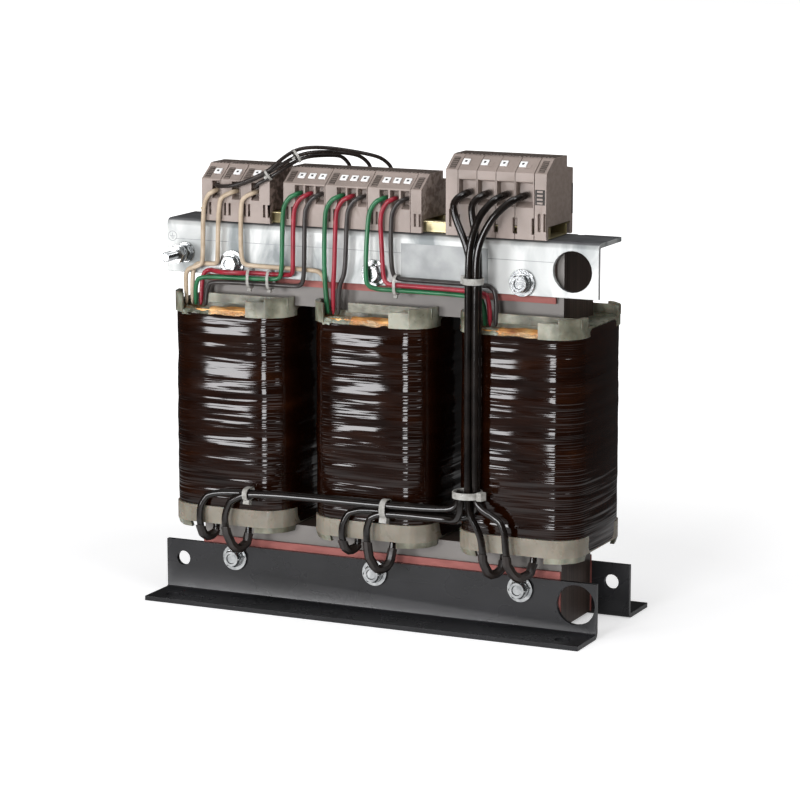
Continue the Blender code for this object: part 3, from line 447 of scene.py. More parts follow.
def slack_profile(made, side):
    """Adds the bands of a wrap where the slack film leans back as it rises."""
    low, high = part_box(f"outer_winding_{side}")
    rise = made.spread(made.axis(made.place, "Z"), (0.0, 1.0), (low.z, high.z))
    total = slack_total(side)
    level = 1.0
    stops = [(0.0, level)]
    for start, end, lean in SLACK_BANDS[side]:
        stops.append((start, level))
        level = max(0.0, level - (end - start) * lean / total)
        stops.append((end, level))
    stops.append((1.0, level))
    depth = total * (high.z - low.z) * SLACK_LEAN * (1 - SLACK_SHAPE_SHARE)
    made.relief(made.ramp(rise, stops), depth)


def wrap_skin(side):
    """Dark brown film under gloss varnish: slack bands, fine creases, and dashes at the corners."""
    made = Finish(f"varnished_wrap_gloss_{side}", roughness=0.1, Specular_IOR_Level=0.41)
    made.colour(made.ramp(made.noise((25, 25, 90), detail=4.0), WRAP_BROWN))
    made.gloss(made.noise((30, 30, 300)), low=0.03, high=0.13)
    made.relief(made.noise((6, 6, 36), detail=0.0), WAVE_BUMP)
    slack_profile(made, side)
    made.relief(made.noise((17, 17, 170), detail=1.0, distortion=0.2), CREASE_BUMP)
    made.relief(made.noise((34, 34, 560), detail=1.0), FINE_BUMP)
    corner = made.math("MULTIPLY", made.facing("X"), made.facing("Y"))
    corner = made.math("MULTIPLY", corner, made.noise((12, 12, 1100), detail=0.0))
    made.relief(corner, DASH_BUMP)
    return made.material


ZINC_FRONT = ((0.38, (0.21, 0.23, 0.232)), (0.47, (0.4, 0.415, 0.41)), (0.57, (0.6, 0.61, 0.595)))
# Painted shade on faces that look up: a darker zinc standing for the dim room they mirror
ZINC_TOP_SHADE = two_colours((0.1, 0.1, 0.105), (0.16, 0.165, 0.17), (0.4, 0.6))
TURNED_FACE = two_colours(0.0, 1.0, (0.6, 0.8))
SPANGLE_DEPTH = 0.00003


def galvanised_skin():
    """Dull zinc sheet with cold smudges, and painted shade where it faces up."""
    made = Finish("galvanised_sheet", roughness=0.45, metallic=0.45)
    smudge = made.noise((38, 38, 16), detail=6.0, distortion=0.8)
    # Painted shade: faces that look up take the darker zinc
    up_facing_shade = made.ramp(made.facing("Z"), TURNED_FACE)
    made.colour(made.mix(up_facing_shade, made.ramp(smudge, ZINC_FRONT), made.ramp(smudge, ZINC_TOP_SHADE)))
    made.gloss(made.noise((70, 70, 26), detail=5.0), low=0.4, high=0.62)
    made.relief(made.cells(160), SPANGLE_DEPTH, strength=0.4)
    return made.material


PAINT_BLACK = two_colours((0.006, 0.006, 0.0065), (0.016, 0.016, 0.018))
PEEL_DEPTH = 0.00006
DUST_DEPTH = 0.00018
DUST_SIZE = two_colours(1.0, 0.0, (0.03, 0.07))


def black_paint_skin():
    """Satin black paint over steel, with a little orange peel and dust in the paint."""
    made = Finish("black_satin_paint", roughness=0.3, Specular_IOR_Level=0.36)
    made.colour(made.ramp(made.noise((18, 18, 30), detail=4.0), PAINT_BLACK))
    made.gloss(made.noise(40), low=0.2, high=0.36)
    made.relief(made.noise(420, detail=1.0), PEEL_DEPTH, strength=0.5)
    made.relief(made.ramp(made.cells(170), DUST_SIZE), DUST_DEPTH, strength=0.5)
    return made.material


BOARD_RED = two_colours((0.22, 0.06, 0.051), (0.33, 0.105, 0.09))
BOARD_SHADE = (0.05, 0.03, 0.025)
BOARD_REVEAL = 0.002
WEAVE_DEPTH = 0.00008


def board_skin():
    """Pink-red insulation board with a woven grain, and painted shade where the top bracket covers it.
    """
    made = Finish("insulation_board_red", roughness=0.7)
    plain = made.ramp(made.noise((60, 60, 240), detail=4.0), BOARD_RED)
    # Painted shade: above the bracket's lower edge the board turns dark
    behind = made.math("GREATER_THAN", made.axis(made.place, "Z"), PLATE_LOW.z + BOARD_REVEAL)
    made.colour(made.mix(behind, plain, BOARD_SHADE))
    made.relief(made.noise(900, detail=1.0), WEAVE_DEPTH, strength=0.5)
    return made.material


FILM_AMBER = two_colours((0.8, 0.55, 0.28), (0.95, 0.82, 0.6))
FILM_BUMP = 0.0002


def film_skin():
    """Clear amber film, crumpled over the copper."""
    made = Finish("amber_film", roughness=0.12, Transmission_Weight=0.75, IOR=1.25)
    made.colour(made.ramp(made.noise(120), FILM_AMBER))
    made.gloss(made.noise(300), low=0.06, high=0.24)
    made.relief(made.noise(500, detail=2.0), FILM_BUMP)
    return made.material


FORMER_BAND = two_colours((0.17, 0.149, 0.114), (0.275, 0.246, 0.196))
FORMER_ENDS = (
    (0.38, (0.085, 0.083, 0.057)),
    (0.5, (0.165, 0.162, 0.12)),
    (0.64, (0.3, 0.296, 0.232)),
)
FORMER_CHANGE = 0.12
FEET_CHANGE = 0.0512
FORMER_BUMP = 0.00012


def former_skin():
    """Pale moulded plastic that lets light through, greener at the feet and the flange."""
    made = Finish("former_moulding", roughness=0.3, Subsurface_Weight=0.2, Subsurface_Scale=0.003)
    cloud = made.noise(60, detail=4.0)
    height = made.axis(made.place, "Z")
    above = made.math("GREATER_THAN", height, FORMER_CHANGE)
    ends = made.math("MAXIMUM", above, made.math("LESS_THAN", height, FEET_CHANGE))
    made.colour(made.mix(ends, made.ramp(cloud, FORMER_BAND), made.ramp(cloud, FORMER_ENDS)))
    made.gloss(made.noise(150), low=0.18, high=0.42)
    made.relief(made.noise((300, 300, 500), detail=2.0), FORMER_BUMP, strength=0.8)
    return made.material


COPPER = ((0.3, (0.36, 0.12, 0.03)), (0.55, (0.62, 0.3, 0.08)), (0.8, (0.85, 0.55, 0.25)))
TURN_SHADE = two_colours(0.45, 1.0, (0.3, 0.6))
TURN_BUMP = 0.0002


def copper_skin():
    """Copper turns under amber varnish."""
    made = Finish(
        "amber_copper_turns", roughness=0.25, metallic=0.35, Coat_Weight=0.6, Coat_Roughness=0.12
    )
    turns = made.noise((60, 900, 60), detail=2.0)
    base = made.ramp(made.noise(110), COPPER)
    made.colour(made.mix(1.0, base, made.ramp(turns, TURN_SHADE), blend="MULTIPLY"))
    made.relief(turns, TURN_BUMP, strength=0.7)
    return made.material


TERMINAL_TAUPE = two_colours((0.245, 0.198, 0.172), (0.32, 0.258, 0.228))
MOTTLE_ENDS = (0.42, 0.58)
# Dark and light colour of the end faces: painted shade and painted light, set by how much light reaches
# each group's ends
TERMINAL_END_SHADES = {
    "signal": ((0.09, 0.062, 0.048), (0.26, 0.195, 0.165)),
    "phase": ((0.2, 0.155, 0.132), (0.38, 0.31, 0.275)),
    "power": ((0.235, 0.186, 0.158), (0.275, 0.22, 0.19)),
}
TERMINAL_BUMP = 0.00004


def terminal_skin(group):
    """Taupe moulding whose end faces take painted shade and painted light in place of the front's
    colour.
    """
    made = Finish(f"{group}_moulding", roughness=0.46)
    front = made.ramp(made.noise(55), TERMINAL_TAUPE)
    mottle = made.noise((200, 260, 320), detail=2.0)
    # Painted shade and light on the end faces, with a mottle
    side = made.ramp(mottle, two_colours(*TERMINAL_END_SHADES[group], MOTTLE_ENDS))
    made.colour(made.mix(made.ramp(made.facing("X"), TURNED_FACE), front, side))
    made.relief(made.noise(900, detail=2.0), TERMINAL_BUMP)
    return made.material


# Camera at the photograph's angle
CAMERA_PLACE = (0.8353, -1.784, 0.5006)
CAMERA_TILT = math.radians(79.405)
CAMERA_TURN = math.radians(25.0)
LENS_MM = 143.1
SENSOR_MM = 36.0

# Studio: in reflections the floor is white near the part and the room round it is dim
FLOOR_WHITE = two_colours((0.84, 0.84, 0.84), (0.87, 0.87, 0.87), (0.2, 0.8))
FLOOR_GLOW = 0.42
FLOOR_SIZE = 12.0
GLOW_REACH = (0.25, 0.9)
TABLE_REACH = (0.2, 0.46)
NEAR_EDGE = -0.07
ROOM_GREY = (0.05, 0.05, 0.05)
WORLD_FILL = 0.38
WORLD_LEVELS = (0.035, 0.6)
WORLD_RISE = (0.55, 0.95)
AIM = (0.0, 0.0, 0.12)
# Name, place, size and power
LAMPS = (
    ("key_softbox", (-1.02, -1.92, 0.29), (0.6, 0.68), 19.0),
    ("front_strip", (0.03, -1.55, 0.44), (0.42, 0.86), 15.0),
    ("right_softbox", (1.3, -0.7, 1.55), (0.5, 0.6), 6.0),
    ("top_softbox", (-0.1, -0.3, 1.75), (0.9, 0.7), 4.5),
)
LAMP_TINT = (0.98, 0.98, 1.0)


def floor_skin():
    """Pale ground, white to the camera. Reflections see it white near the part and dim further off."""
    made = Finish("studio_floor", roughness=0.8)
    path = made.node("LightPath").outputs
    glossy = path["Is Glossy Ray"]
    dim = made.math("MULTIPLY", glossy, made.distance(TABLE_REACH, (0.0, 1.0)))
    made.colour(made.mix(dim, made.ramp(made.noise(2), FLOOR_WHITE), ROOM_GREY))
    front = made.math("LESS_THAN", made.axis(made.place, "Y"), NEAR_EDGE)
    near = made.math("MULTIPLY", made.math("SUBTRACT", glossy, dim), front)
    near = made.math("MULTIPLY", near, FLOOR_GLOW)
    seen = made.math("MAXIMUM", path["Is Camera Ray"], path["Is Transmission Ray"])
    seen = made.math("MULTIPLY", seen, made.distance(GLOW_REACH, (FLOOR_GLOW, 1.0)))
    made.feed((1, 1, 1), made.inputs["Emission Color"])
    made.feed(made.math("MAXIMUM", near, seen), made.inputs["Emission Strength"])
    return made.material


def camera():
    """Camera fitted to the photograph."""
    data = bpy.data.cameras.new("photo_camera")
    data.lens = LENS_MM
    data.sensor_width = SENSOR_MM
    item = link(bpy.data.objects.new("photo_camera", data))
    item.location = CAMERA_PLACE
    item.rotation_euler = (CAMERA_TILT, 0, CAMERA_TURN)
    bpy.context.scene.camera = item


def lamp(name, place, size, power):
    """A soft box that lights the object and isn't seen itself."""
    data = bpy.data.lights.new(name, "AREA")
    data.shape = "RECTANGLE"
    data.size, data.size_y = size
    data.energy = power
    data.color = LAMP_TINT
    item = link(bpy.data.objects.new(name, data))
    item.location = place
    item.rotation_euler = (Vector(AIM) - Vector(place)).to_track_quat("-Z", "Y").to_euler()
    item.visible_camera = False


def world_light():
    """Plain world: white behind the part, a soft fill on it, and a darker room in reflections."""
    world = bpy.context.scene.world or bpy.data.worlds.new("studio")
    bpy.context.scene.world = world
    world.use_nodes = True
    made = Tree(world.node_tree)
    path = made.node("LightPath").outputs
    upwards = made.axis(made.node("TexCoord").outputs["Generated"], "Z")
    room = made.spread(upwards, WORLD_LEVELS, WORLD_RISE)
    level = made.choose(path["Is Glossy Ray"], WORLD_FILL, room)
    for ray in ("Is Transmission Ray", "Is Camera Ray"):
        level = made.choose(path[ray], level, 1.0)
    ground = made.tree.nodes["Background"].inputs
    made.feed((1, 1, 1), ground["Color"])
    made.feed(level, ground["Strength"])


def studio():
    """Floor, lamps and a plain world."""
    shape = bmesh.new()
    bmesh.ops.create_grid(shape, x_segments=1, y_segments=1, size=FLOOR_SIZE / 2)
    mesh = bpy.data.meshes.new("floor")
    shape.to_mesh(mesh)
    shape.free()
    mesh.materials.append(floor_skin())
    floor = link(bpy.data.objects.new("floor", mesh))
    for values in LAMPS:
        lamp(*values)
    world_light()
    bpy.context.scene.view_settings.view_transform = "Standard"


# Core, strips, brackets and rail
SHEET_EDGE = 0.0004
# Node, finish and slot of each sheet
SHEETS = (
    ("bottom_bracket_front", "paint", "black_paint"),
    ("bottom_bracket_back", "paint", "black_paint"),
    ("top_bracket", "zinc", "bright_zinc"),
    ("rear_clamp_bar", "zinc", "bright_zinc"),
    ("din_rail", "yellow", "yellow_zinc"),
)


def core_and_sheets():
    """The core and its strips as they are, and the sheets with their cut edges broken."""
    solid("core_laminations", lamination_skin())
    board = board_skin()
    for level in LEVELS:
        for name in FACES.values():
            solid(f"insulation_strip_{level}_{name}", board)
    skins = {
        "paint": black_paint_skin(),
        "zinc": galvanised_skin(),
        "yellow": plain_skin("yellow_passivated"),
    }
    for node, skin, slot in SHEETS:
        soften(piece(f"sheet_{node}", copied(node), skins[skin], slot, node), SHEET_EDGE)


# Fasteners
WASHER_EDGE = 0.0002
WASHER_RADIUS = 0.0084
WASHER_THICKNESS = 0.0014
SPRING_RADIUS = 0.0061
SPRING_THICKNESS = 0.0012
HEX_SIDES = 6
HEX_SIDE_STEPS = 8
HEX_RADIUS = 0.005
HEX_TOP_RADIUS = HEX_RADIUS * 0.96
HEAD_HEIGHT = 0.0038
HEAD_CHAMFER_SHARE = 0.18
HEAD_DISH_RADIUS = HEX_RADIUS * 0.62
HEAD_DISH_DEPTH = 0.0009
DISH_FLOOR_SHARE = 0.2
NUT_HEIGHT = 0.005
THREAD_PITCH = 0.001
THREAD_DEPTH = 0.00045
LEAST_THREADS = 2
SHANK_RADIUS = 0.003
STUD_NUT_SPACE = 0.004
STUD_WASHER_RADIUS = 0.0066


def lathe(stations, centre):
    """A turned body along Y. Each station is its place and its radius, and True for a hexagon."""
    rings = []
    side = 2 * math.pi / HEX_SIDES
    for along, radius, *hexagon in stations:
        ring = []
        for angle, across, up in circle(HEX_SIDES * HEX_SIDE_STEPS):
            reach = radius / math.cos(angle % side - side / 2) if hexagon else radius
            ring.append((centre[0] + reach * across, along, centre[2] + reach * up))
        rings.append(ring)
    return skin_rings(rings)


def washer_stations(start, thickness, radius, outward):
    """A flat washer with broken edges."""
    end = start + outward * thickness
    edge = WASHER_EDGE * outward
    return [
        (start, radius - WASHER_EDGE),
        (start + edge, radius),
        (end - edge, radius),
        (end, radius - WASHER_EDGE),
    ]


def hex_stations(start, height, outward):
    """The sides of a hexagon."""
    return [(start, HEX_RADIUS, True), (start + outward * height, HEX_RADIUS, True)]


def head_stations(start, height, outward):
    """A hexagon head with a round chamfer and a dished top."""
    end = start + outward * height
    dish_floor = end - outward * HEAD_DISH_DEPTH
    return [
        (start, HEX_RADIUS, True),
        (end - outward * height * HEAD_CHAMFER_SHARE, HEX_RADIUS, True),
        (end, HEX_TOP_RADIUS),
        (end, HEAD_DISH_RADIUS + WASHER_EDGE),
        (dish_floor, HEAD_DISH_RADIUS - WASHER_EDGE),
        (dish_floor, HEAD_DISH_RADIUS * DISH_FLOOR_SHARE),
    ]


def thread_stations(start, end):
    """A threaded end as fine rings."""
    count = max(LEAST_THREADS, round(abs(end - start) / THREAD_PITCH))
    stations = []
    for turn in range(count):
        base = start + (end - start) * turn / count
        half = (end - start) / count / 2
        stations.append((base, SHANK_RADIUS - THREAD_DEPTH))
        stations.append((base + half, SHANK_RADIUS))
    stations.append((end, SHANK_RADIUS - THREAD_DEPTH))
    return stations


def clamp_bolt(level, column, skin):
    """Clamp bolt with a dished hexagon head in front and a nut behind."""
    node = f"clamp_bolt_{level}_{column}"
    low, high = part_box(node)
    front = low.y + HEAD_HEIGHT
    spring_front = front + SPRING_THICKNESS
    seat = spring_front + WASHER_THICKNESS
    nut_start = WASHER_THICKNESS - seat
    nut_end = nut_start + NUT_HEIGHT
    stations = head_stations(front, HEAD_HEIGHT, -1)[::-1]
    stations += washer_stations(spring_front, SPRING_THICKNESS, SPRING_RADIUS, -1)[::-1]
    stations += washer_stations(seat, WASHER_THICKNESS, WASHER_RADIUS, -1)[::-1]
    stations += [(seat, SHANK_RADIUS), (-seat, SHANK_RADIUS)]
    stations += washer_stations(-seat, WASHER_THICKNESS, WASHER_RADIUS, 1)
    stations += hex_stations(nut_start, NUT_HEIGHT - SKIN_GAP, 1)
    stations += [(nut_end, HEX_TOP_RADIUS), (nut_end, SHANK_RADIUS)]
    stations += thread_stations(nut_end, high.y)
    shape = lathe(stations, (low + high) / 2)
    piece(f"bolt_{level}_{column}", shape, skin, "zinc_steel", node)


def earth_stud(skin):
    """Threaded earth stud with its washers and nuts."""
    low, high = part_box("earth_stud")
    seat = PLATE_FACE - SKIN_GAP
    nut = seat - WASHER_THICKNESS
    nut_end = nut - HEAD_HEIGHT
    second_seat = nut_end - STUD_NUT_SPACE
    second = second_seat - WASHER_THICKNESS
    stations = hex_stations(high.y, HEAD_HEIGHT, -1)
    stations += [(high.y - HEAD_HEIGHT, SHANK_RADIUS), (seat, SHANK_RADIUS)]
    stations += washer_stations(seat, WASHER_THICKNESS, STUD_WASHER_RADIUS, -1)
    stations += hex_stations(nut, HEAD_HEIGHT, -1)
    stations += thread_stations(nut_end, second_seat)
    stations += washer_stations(second_seat, WASHER_THICKNESS, SPRING_RADIUS, -1)
    stations += hex_stations(second, HEAD_HEIGHT, -1)
    stations += thread_stations(second - HEAD_HEIGHT, low.y)
    piece("earth_screw", lathe(stations, (low + high) / 2), skin, "zinc_steel", "earth_stud")


def fasteners():
    """All clamp bolts and the earth stud."""
    steel = plain_skin("plated_fasteners")
    for level in LEVELS:
        for column in SIDES:
            clamp_bolt(level, column, steel)
    earth_stud(steel)


# Wraps round the coils
WRAP_ROWS = 200
WRAP_COLUMNS = 200
WRAP_EDGE = 0.003
WRAP_CORNER = 0.018
WRAP_SWELL_X, WRAP_SWELL_Y = 0.0012, 0.0004
LEAST_ARC_POINTS = 3
FRONT_TURN = math.radians(6)
SIDE_TURN = math.radians(7)
SEED_START, SEED_STEP = 3.7, 100
WARP_DEPTH, WARP_LUMPS, WARP_COUNT = 0.004, 11, 16
FOLD_DEPTH, FOLD_LUMPS, FOLD_COUNT = 0.0004, 8, 60
CREASE_DEPTH, CREASE_LUMPS, CREASE_COUNT = 0.00016, 16, 260
EDGE_RELIEF_SHARE = 0.3
EDGE_FADE = 14
RIM_RISE = 0.001
RIM_LUMPS = (160, 60)
RIM_MIDDLE = 0.6
SIDE_RIM_SHARE = 0.4
SIDE_RISE = 0.0052
SIDE_DROP = 0.01
SIDE_REACH = (0.019, 0.027)
TURN_LEFT, TURN_RIGHT = -0.03, 0.0155
COPPER_LEFT = -0.0115


def arcs_outline(half_x, half_y, radius, front_turn, side_turn, columns):
    """Points and outward directions round a rectangle with bulging sides and round corners."""
    span_x, span_y = half_x - radius, half_y - radius
    front_reach, front_rise = math.sin(front_turn), 1 - math.cos(front_turn)
    side_reach, side_rise = math.sin(side_turn), 1 - math.cos(side_turn)
    scale = front_reach * side_reach - side_rise * front_rise
    front_radius = (span_x * side_reach - side_rise * span_y) / scale
    side_radius = (front_reach * span_y - front_rise * span_x) / scale
    corner_x, corner_y = front_radius * front_reach, side_radius * side_reach
    quarter = math.pi / 2
    ways = ((side_turn, side_radius, half_x), (front_turn, front_radius, half_y))
    arcs = []
    for turn in range(4):
        bend, bulge, half = ways[turn % 2]
        other = ways[1 - turn % 2][0]
        base = turn * quarter
        face = Vector((math.cos(base), math.sin(base))) * (half - bulge - radius)
        arcs.append((face, bulge + radius, base - bend, base + bend))
        x = math.copysign(corner_x, math.cos(base + quarter / 2))
        y = math.copysign(corner_y, math.sin(base + quarter / 2))
        arcs.append((Vector((x, y)), radius, base + bend, base + quarter - other))
    total = sum(size * (end - start) for centre, size, start, end in arcs)
    points = []
    for centre, size, start, end in arcs:
        count = max(LEAST_ARC_POINTS, round(columns * size * (end - start) / total))
        for step in range(count):
            angle = start + (end - start) * step / count
            direction = Vector((math.cos(angle), math.sin(angle)))
            points.append((centre + direction * size, direction))
    return points


def wrap_relief(place, height, seed):
    """How far the film stands in or out at a point, in metres."""
    x, y = place.x, place.y
    warp = height + WARP_DEPTH * lump(x * WARP_LUMPS, y * WARP_LUMPS, height * WARP_COUNT + seed)
    fold = lump(x * FOLD_LUMPS, y * FOLD_LUMPS + seed, warp * FOLD_COUNT)
    crease = lump(x * CREASE_LUMPS + seed, y * CREASE_LUMPS, warp * CREASE_COUNT)
    return FOLD_DEPTH * fold + CREASE_DEPTH * crease


def side_share(point):
    """1 on the long sides of a coil, 0 on its front and back."""
    start, end = SIDE_REACH
    return min(1.0, max(0.0, (end - abs(point.y)) / (end - start)))


def wrap_rim(point, seed):
    """How far the film's top stands above the winding: ragged in the opening, high at the sides."""
    ragged = lump(point.x * RIM_LUMPS[0], point.y * RIM_LUMPS[1], seed)
    if TURN_LEFT < point.x < TURN_RIGHT:
        return RIM_RISE * (RIM_MIDDLE + ragged)
    return side_share(point) * (SIDE_RISE + SIDE_RIM_SHARE * RIM_RISE * ragged)


def coil_wrap(side):
    """The outer winding's creased, varnished film."""
    low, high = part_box(f"outer_winding_{side}")
    tall = high.z - low.z
    centre = ((low + high) / 2).x
    half_x = (high.x - low.x) / 2 + WRAP_SWELL_X
    half_y = (high.y - low.y) / 2 + WRAP_SWELL_Y
    outline = arcs_outline(half_x, half_y, WRAP_CORNER, FRONT_TURN, SIDE_TURN, WRAP_COLUMNS)
    seed = centre * SEED_STEP + SEED_START
    tops = [high.z + wrap_rim(point, seed) for point, outward in outline]
    feet = [low.z - SIDE_DROP * side_share(point) for point, outward in outline]
    rings = []
    for row in range(WRAP_ROWS + 1):
        share = row / WRAP_ROWS
        fade = min(1.0, EDGE_FADE * min(share, 1 - share))
        relief_share = EDGE_RELIEF_SHARE + (1 - EDGE_RELIEF_SHARE) * fade
        ring = []
        for (point, outward), top, foot in zip(outline, tops, feet):
            height = foot + share * (top - foot)
            slack = slack_height(side, (height - low.z) / tall) * tall
            place = point + outward * (slack + wrap_relief(point, height, seed) * relief_share)
            ring.append((centre + place.x, place.y, height))
        rings.append(ring)
    inner = [point - outward * WRAP_EDGE for point, outward in outline]
    for heights in (tops, feet):
        rings.append([(centre + point.x, point.y, z) for point, z in zip(inner, heights)])
    shape = skin_rings(rings, cap=False, endless=True)
    piece(f"wrap_{side}", shape, wrap_skin(side), "varnished_wrap", f"outer_winding_{side}")


# Film and copper turns in the formers' openings
FILM_COLUMNS = 90
FILM_ROWS = 14
FILM_BEND = math.radians(115)
FILM_DEPTH = 0.0066
FILM_RISE = 0.004
FILM_CREASE = 0.0011
FILM_INSET = 0.0008
FILM_SINK = 0.0006
FILM_THICKNESS = 0.00012
# Lumps of the crumpling along X, across the rows and from coil to coil
FILM_COARSE = (150, 0.33, 40)
FILM_FINE = (420, 0.8, 70)
FILM_FINE_SHARE = 0.5
TURN_RADIUS = 0.0008
TURN_ROWS = 5
TURN_STEPS = 12
TURN_SIDES = 10
TURN_PITCH = 2.1
TURN_LIFT, TURN_LIFT_CHANGE, TURN_LIFT_PHASE = 0.35, 0.25, 2.4
TURN_WAVE, TURN_WAVE_PHASE = 0.5, 7
TURN_SIDEWAYS = (0, 1, 0.05)


def film_lump(x, row, face, centre):
    """How the film is crumpled at one point."""
    coarse = lump(x * FILM_COARSE[0], row * FILM_COARSE[1] + face, centre * FILM_COARSE[2])
    fine = lump(x * FILM_FINE[0], row * FILM_FINE[1], centre * FILM_FINE[2])
    return coarse + FILM_FINE_SHARE * fine


def end_film(side, face, label, start, end, skin):
    """Crumpled film over part of one opening of the former."""
    low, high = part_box(f"outer_winding_{side}")
    centre = (low.x + high.x) / 2
    half = (high.y - low.y) / 2 - FILM_INSET
    rings = []
    for row in range(FILM_ROWS + 1):
        bend = row / FILM_ROWS * FILM_BEND
        ring = []
        for column in range(FILM_COLUMNS + 1):
            x = start + (end - start) * column / FILM_COLUMNS
            crease = FILM_CREASE * film_lump(x, row, face, centre)
            in_y = FILM_DEPTH * (1 - math.cos(bend)) - crease
            up = high.z - FILM_SINK + FILM_RISE * math.sin(bend) + crease
            ring.append((centre + x, face * (half - max(0.0, in_y)), up))
        rings.append(ring)
    shape = skin_rings(rings, closed_rings=False, cap=False)
    item = piece(f"{label}_film_{FACES[face]}_{side}", shape, skin, "copper_winding")
    thick = item.modifiers.new("film", "SOLIDIFY")
    thick.thickness = FILM_THICKNESS


def add_tube(shape, line, radius, sides):
    """Adds a round tube along a line of points that runs along X."""
    rings = []
    for index, here in enumerate(line):
        before = line[max(0, index - 1)]
        after = line[min(len(line) - 1, index + 1)]
        along = (after - before).normalized()
        across = along.cross(Vector(TURN_SIDEWAYS)).normalized()
        over = along.cross(across)
        turned = [across * radius * x + over * radius * y for angle, x, y in circle(sides)]
        rings.append([here + spot for spot in turned])
    skin_rings(rings, shape)


def winding_ends(side, skin):
    """Turns of copper wire that show in the former's front and back openings."""
    low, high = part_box(f"inner_winding_{side}")
    left = (low.x + high.x) / 2 + COPPER_LEFT
    for face, name in FACES.items():
        shape = bmesh.new()
        for row in range(TURN_ROWS):
            depth = face * (abs(low.y) - TURN_RADIUS * (1 + TURN_PITCH * row))
            lift = TURN_LIFT + TURN_LIFT_CHANGE * math.sin(row * TURN_LIFT_PHASE)
            line = []
            for step in range(TURN_STEPS + 1):
                share = step / TURN_STEPS
                wave = TURN_WAVE * TURN_RADIUS * math.sin(share * TURN_WAVE_PHASE + row)
                x = left + share * (TURN_RIGHT - COPPER_LEFT)
                line.append(Vector((x, depth, high.z + TURN_RADIUS * lift + wave)))
            add_tube(shape, line, TURN_RADIUS, TURN_SIDES)
        piece(f"turns_{name}_{side}", shape, skin, "copper_winding")


# Formers
FORMER_EDGE = 0.0005
FORMER_CORNER = 0.0195
FLANGE_TOP = 0.0062
FOOT_SHRINK = 0.975
SIDE_SHRINK = 0.0004
WALL_X = (-0.017, 0.04)
WALL_Y = (0.0312, 0.0326)
WALL_TOP = 0.006
STEP_X = (0.0155, 0.0285)
STEP_DROP = 0.0024
STEP_SHARES = (1.1, 0.7)
CUT_SPARE = 1.1
POST_X = (-0.0342, -0.0296)
POST_STEPS = 6
POST_WALL = 0.0026
CORNER_CUTS = 11
RADIUS_DIGITS = 6
ARC_SAG_SHARE = 0.035


def round_corners(shape, centre, half_x, half_y):
    """Splits the faceted corners of a former and moves the new points out onto their arcs."""
    arc_x, arc_y = half_x - FORMER_CORNER, half_y - FORMER_CORNER
    corners = [Vector((centre + x * arc_x, y * arc_y, 0)) for x in (-1, 1) for y in (-1, 1)]

    def reach(vert, corner):
        offset = (vert.co - corner).xy
        outward = (corner.x - centre) * offset.x > 0 and corner.y * offset.y > 0
        return offset.length if outward else 0.0

    distances = (reach(vert, corner) for vert in shape.verts for corner in corners)
    radii = sorted({round(distance, RADIUS_DIGITS) for distance in distances})
    kept = set(shape.verts)
    for corner in corners:
        for index in range(1, CORNER_CUTS + 1):
            angle = math.pi / 2 * index / (CORNER_CUTS + 1)
            tilt = math.copysign(math.sin(angle), (centre - corner.x) * corner.y)
            split(shape, corner, Vector((math.cos(angle), tilt, 0)), dist=WELD)
    for vert in shape.verts:
        if vert in kept:
            continue
        for corner in corners:
            distance = reach(vert, corner)
            nearest = next((size for size in radii if size > distance), 0.0)
            if distance and distance > nearest * (1 - ARC_SAG_SHARE):
                vert.co.xy = corner.xy + (vert.co - corner).xy * nearest / distance


def tuck_former(shape, centre, side_x):
    """Moves a former's sides under the film and draws its feet in."""
    split(shape, (0, 0, FEET_CHANGE), (0, 0, 1))
    for vert in shape.verts:
        vert.co.x = centre + max(-side_x, min(side_x, vert.co.x - centre))
        if vert.co.z < FEET_CHANGE - SKIN_GAP:
            vert.co.x = centre + (vert.co.x - centre) * FOOT_SHRINK
            vert.co.y *= FOOT_SHRINK


def former(side, skin):
    """Coil former: sunk feet, sides tucked under the film, a stepped lip and an inner wall."""
    node = f"bobbin_{side}"
    low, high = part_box(node)
    centre = (low.x + high.x) / 2
    half_x, half_y = (high.x - low.x) / 2, high.y
    flange = high.z - FLANGE_TOP
    shape = copied(node)
    round_corners(shape, centre, half_x, half_y)
    tuck_former(shape, centre, half_x - SIDE_SHRINK)
    item = piece(f"former_{side}", shape, skin, "former_plastic", node)
    cuts, walls = bmesh.new(), bmesh.new()
    for face in FACES:
        start, end = (centre + x for x in STEP_X)
        outer, inner = (face * half_y * share for share in STEP_SHARES)
        add_box(cuts, (start, outer, high.z - STEP_DROP), (end, inner, high.z * CUT_SPARE))
        near, far = (face * y for y in WALL_Y)
        left, right = (centre + x for x in WALL_X)
        add_box(walls, (left, near, flange), (right, far, flange + WALL_TOP))
    cut(item, cuts, f"step_{side}")
    soften(item, FORMER_EDGE)
    soften(piece(f"former_wall_{side}", walls, skin, "former_plastic"), FORMER_EDGE / 2)


def lip_posts(side, skin):
    """The wider foot of each left-hand lip, which follows the former's round corner."""
    low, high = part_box(f"bobbin_{side}")
    centre = (low.x + high.x) / 2
    arc_x = (high.x - low.x) / 2 - FORMER_CORNER
    arc_y = high.y - FORMER_CORNER
    floor_z, top_z = high.z - 2 * FLANGE_TOP, high.z - SKIN_GAP
    for face, name in FACES.items():
        rings = []
        for step in range(POST_STEPS + 1):
            x = POST_X[0] + (POST_X[1] - POST_X[0]) * step / POST_STEPS
            outer = arc_y + math.sqrt(FORMER_CORNER ** 2 - (abs(x) - arc_x) ** 2)
            inner = outer - POST_WALL
            spots = ((outer, floor_z), (outer, top_z), (inner, top_z), (inner, floor_z))
            rings.append([(centre + x, face * y, z) for y, z in spots])
        post = piece(f"former_post_{name}_{side}", skin_rings(rings), skin, "former_plastic")
        soften(post, FORMER_EDGE)


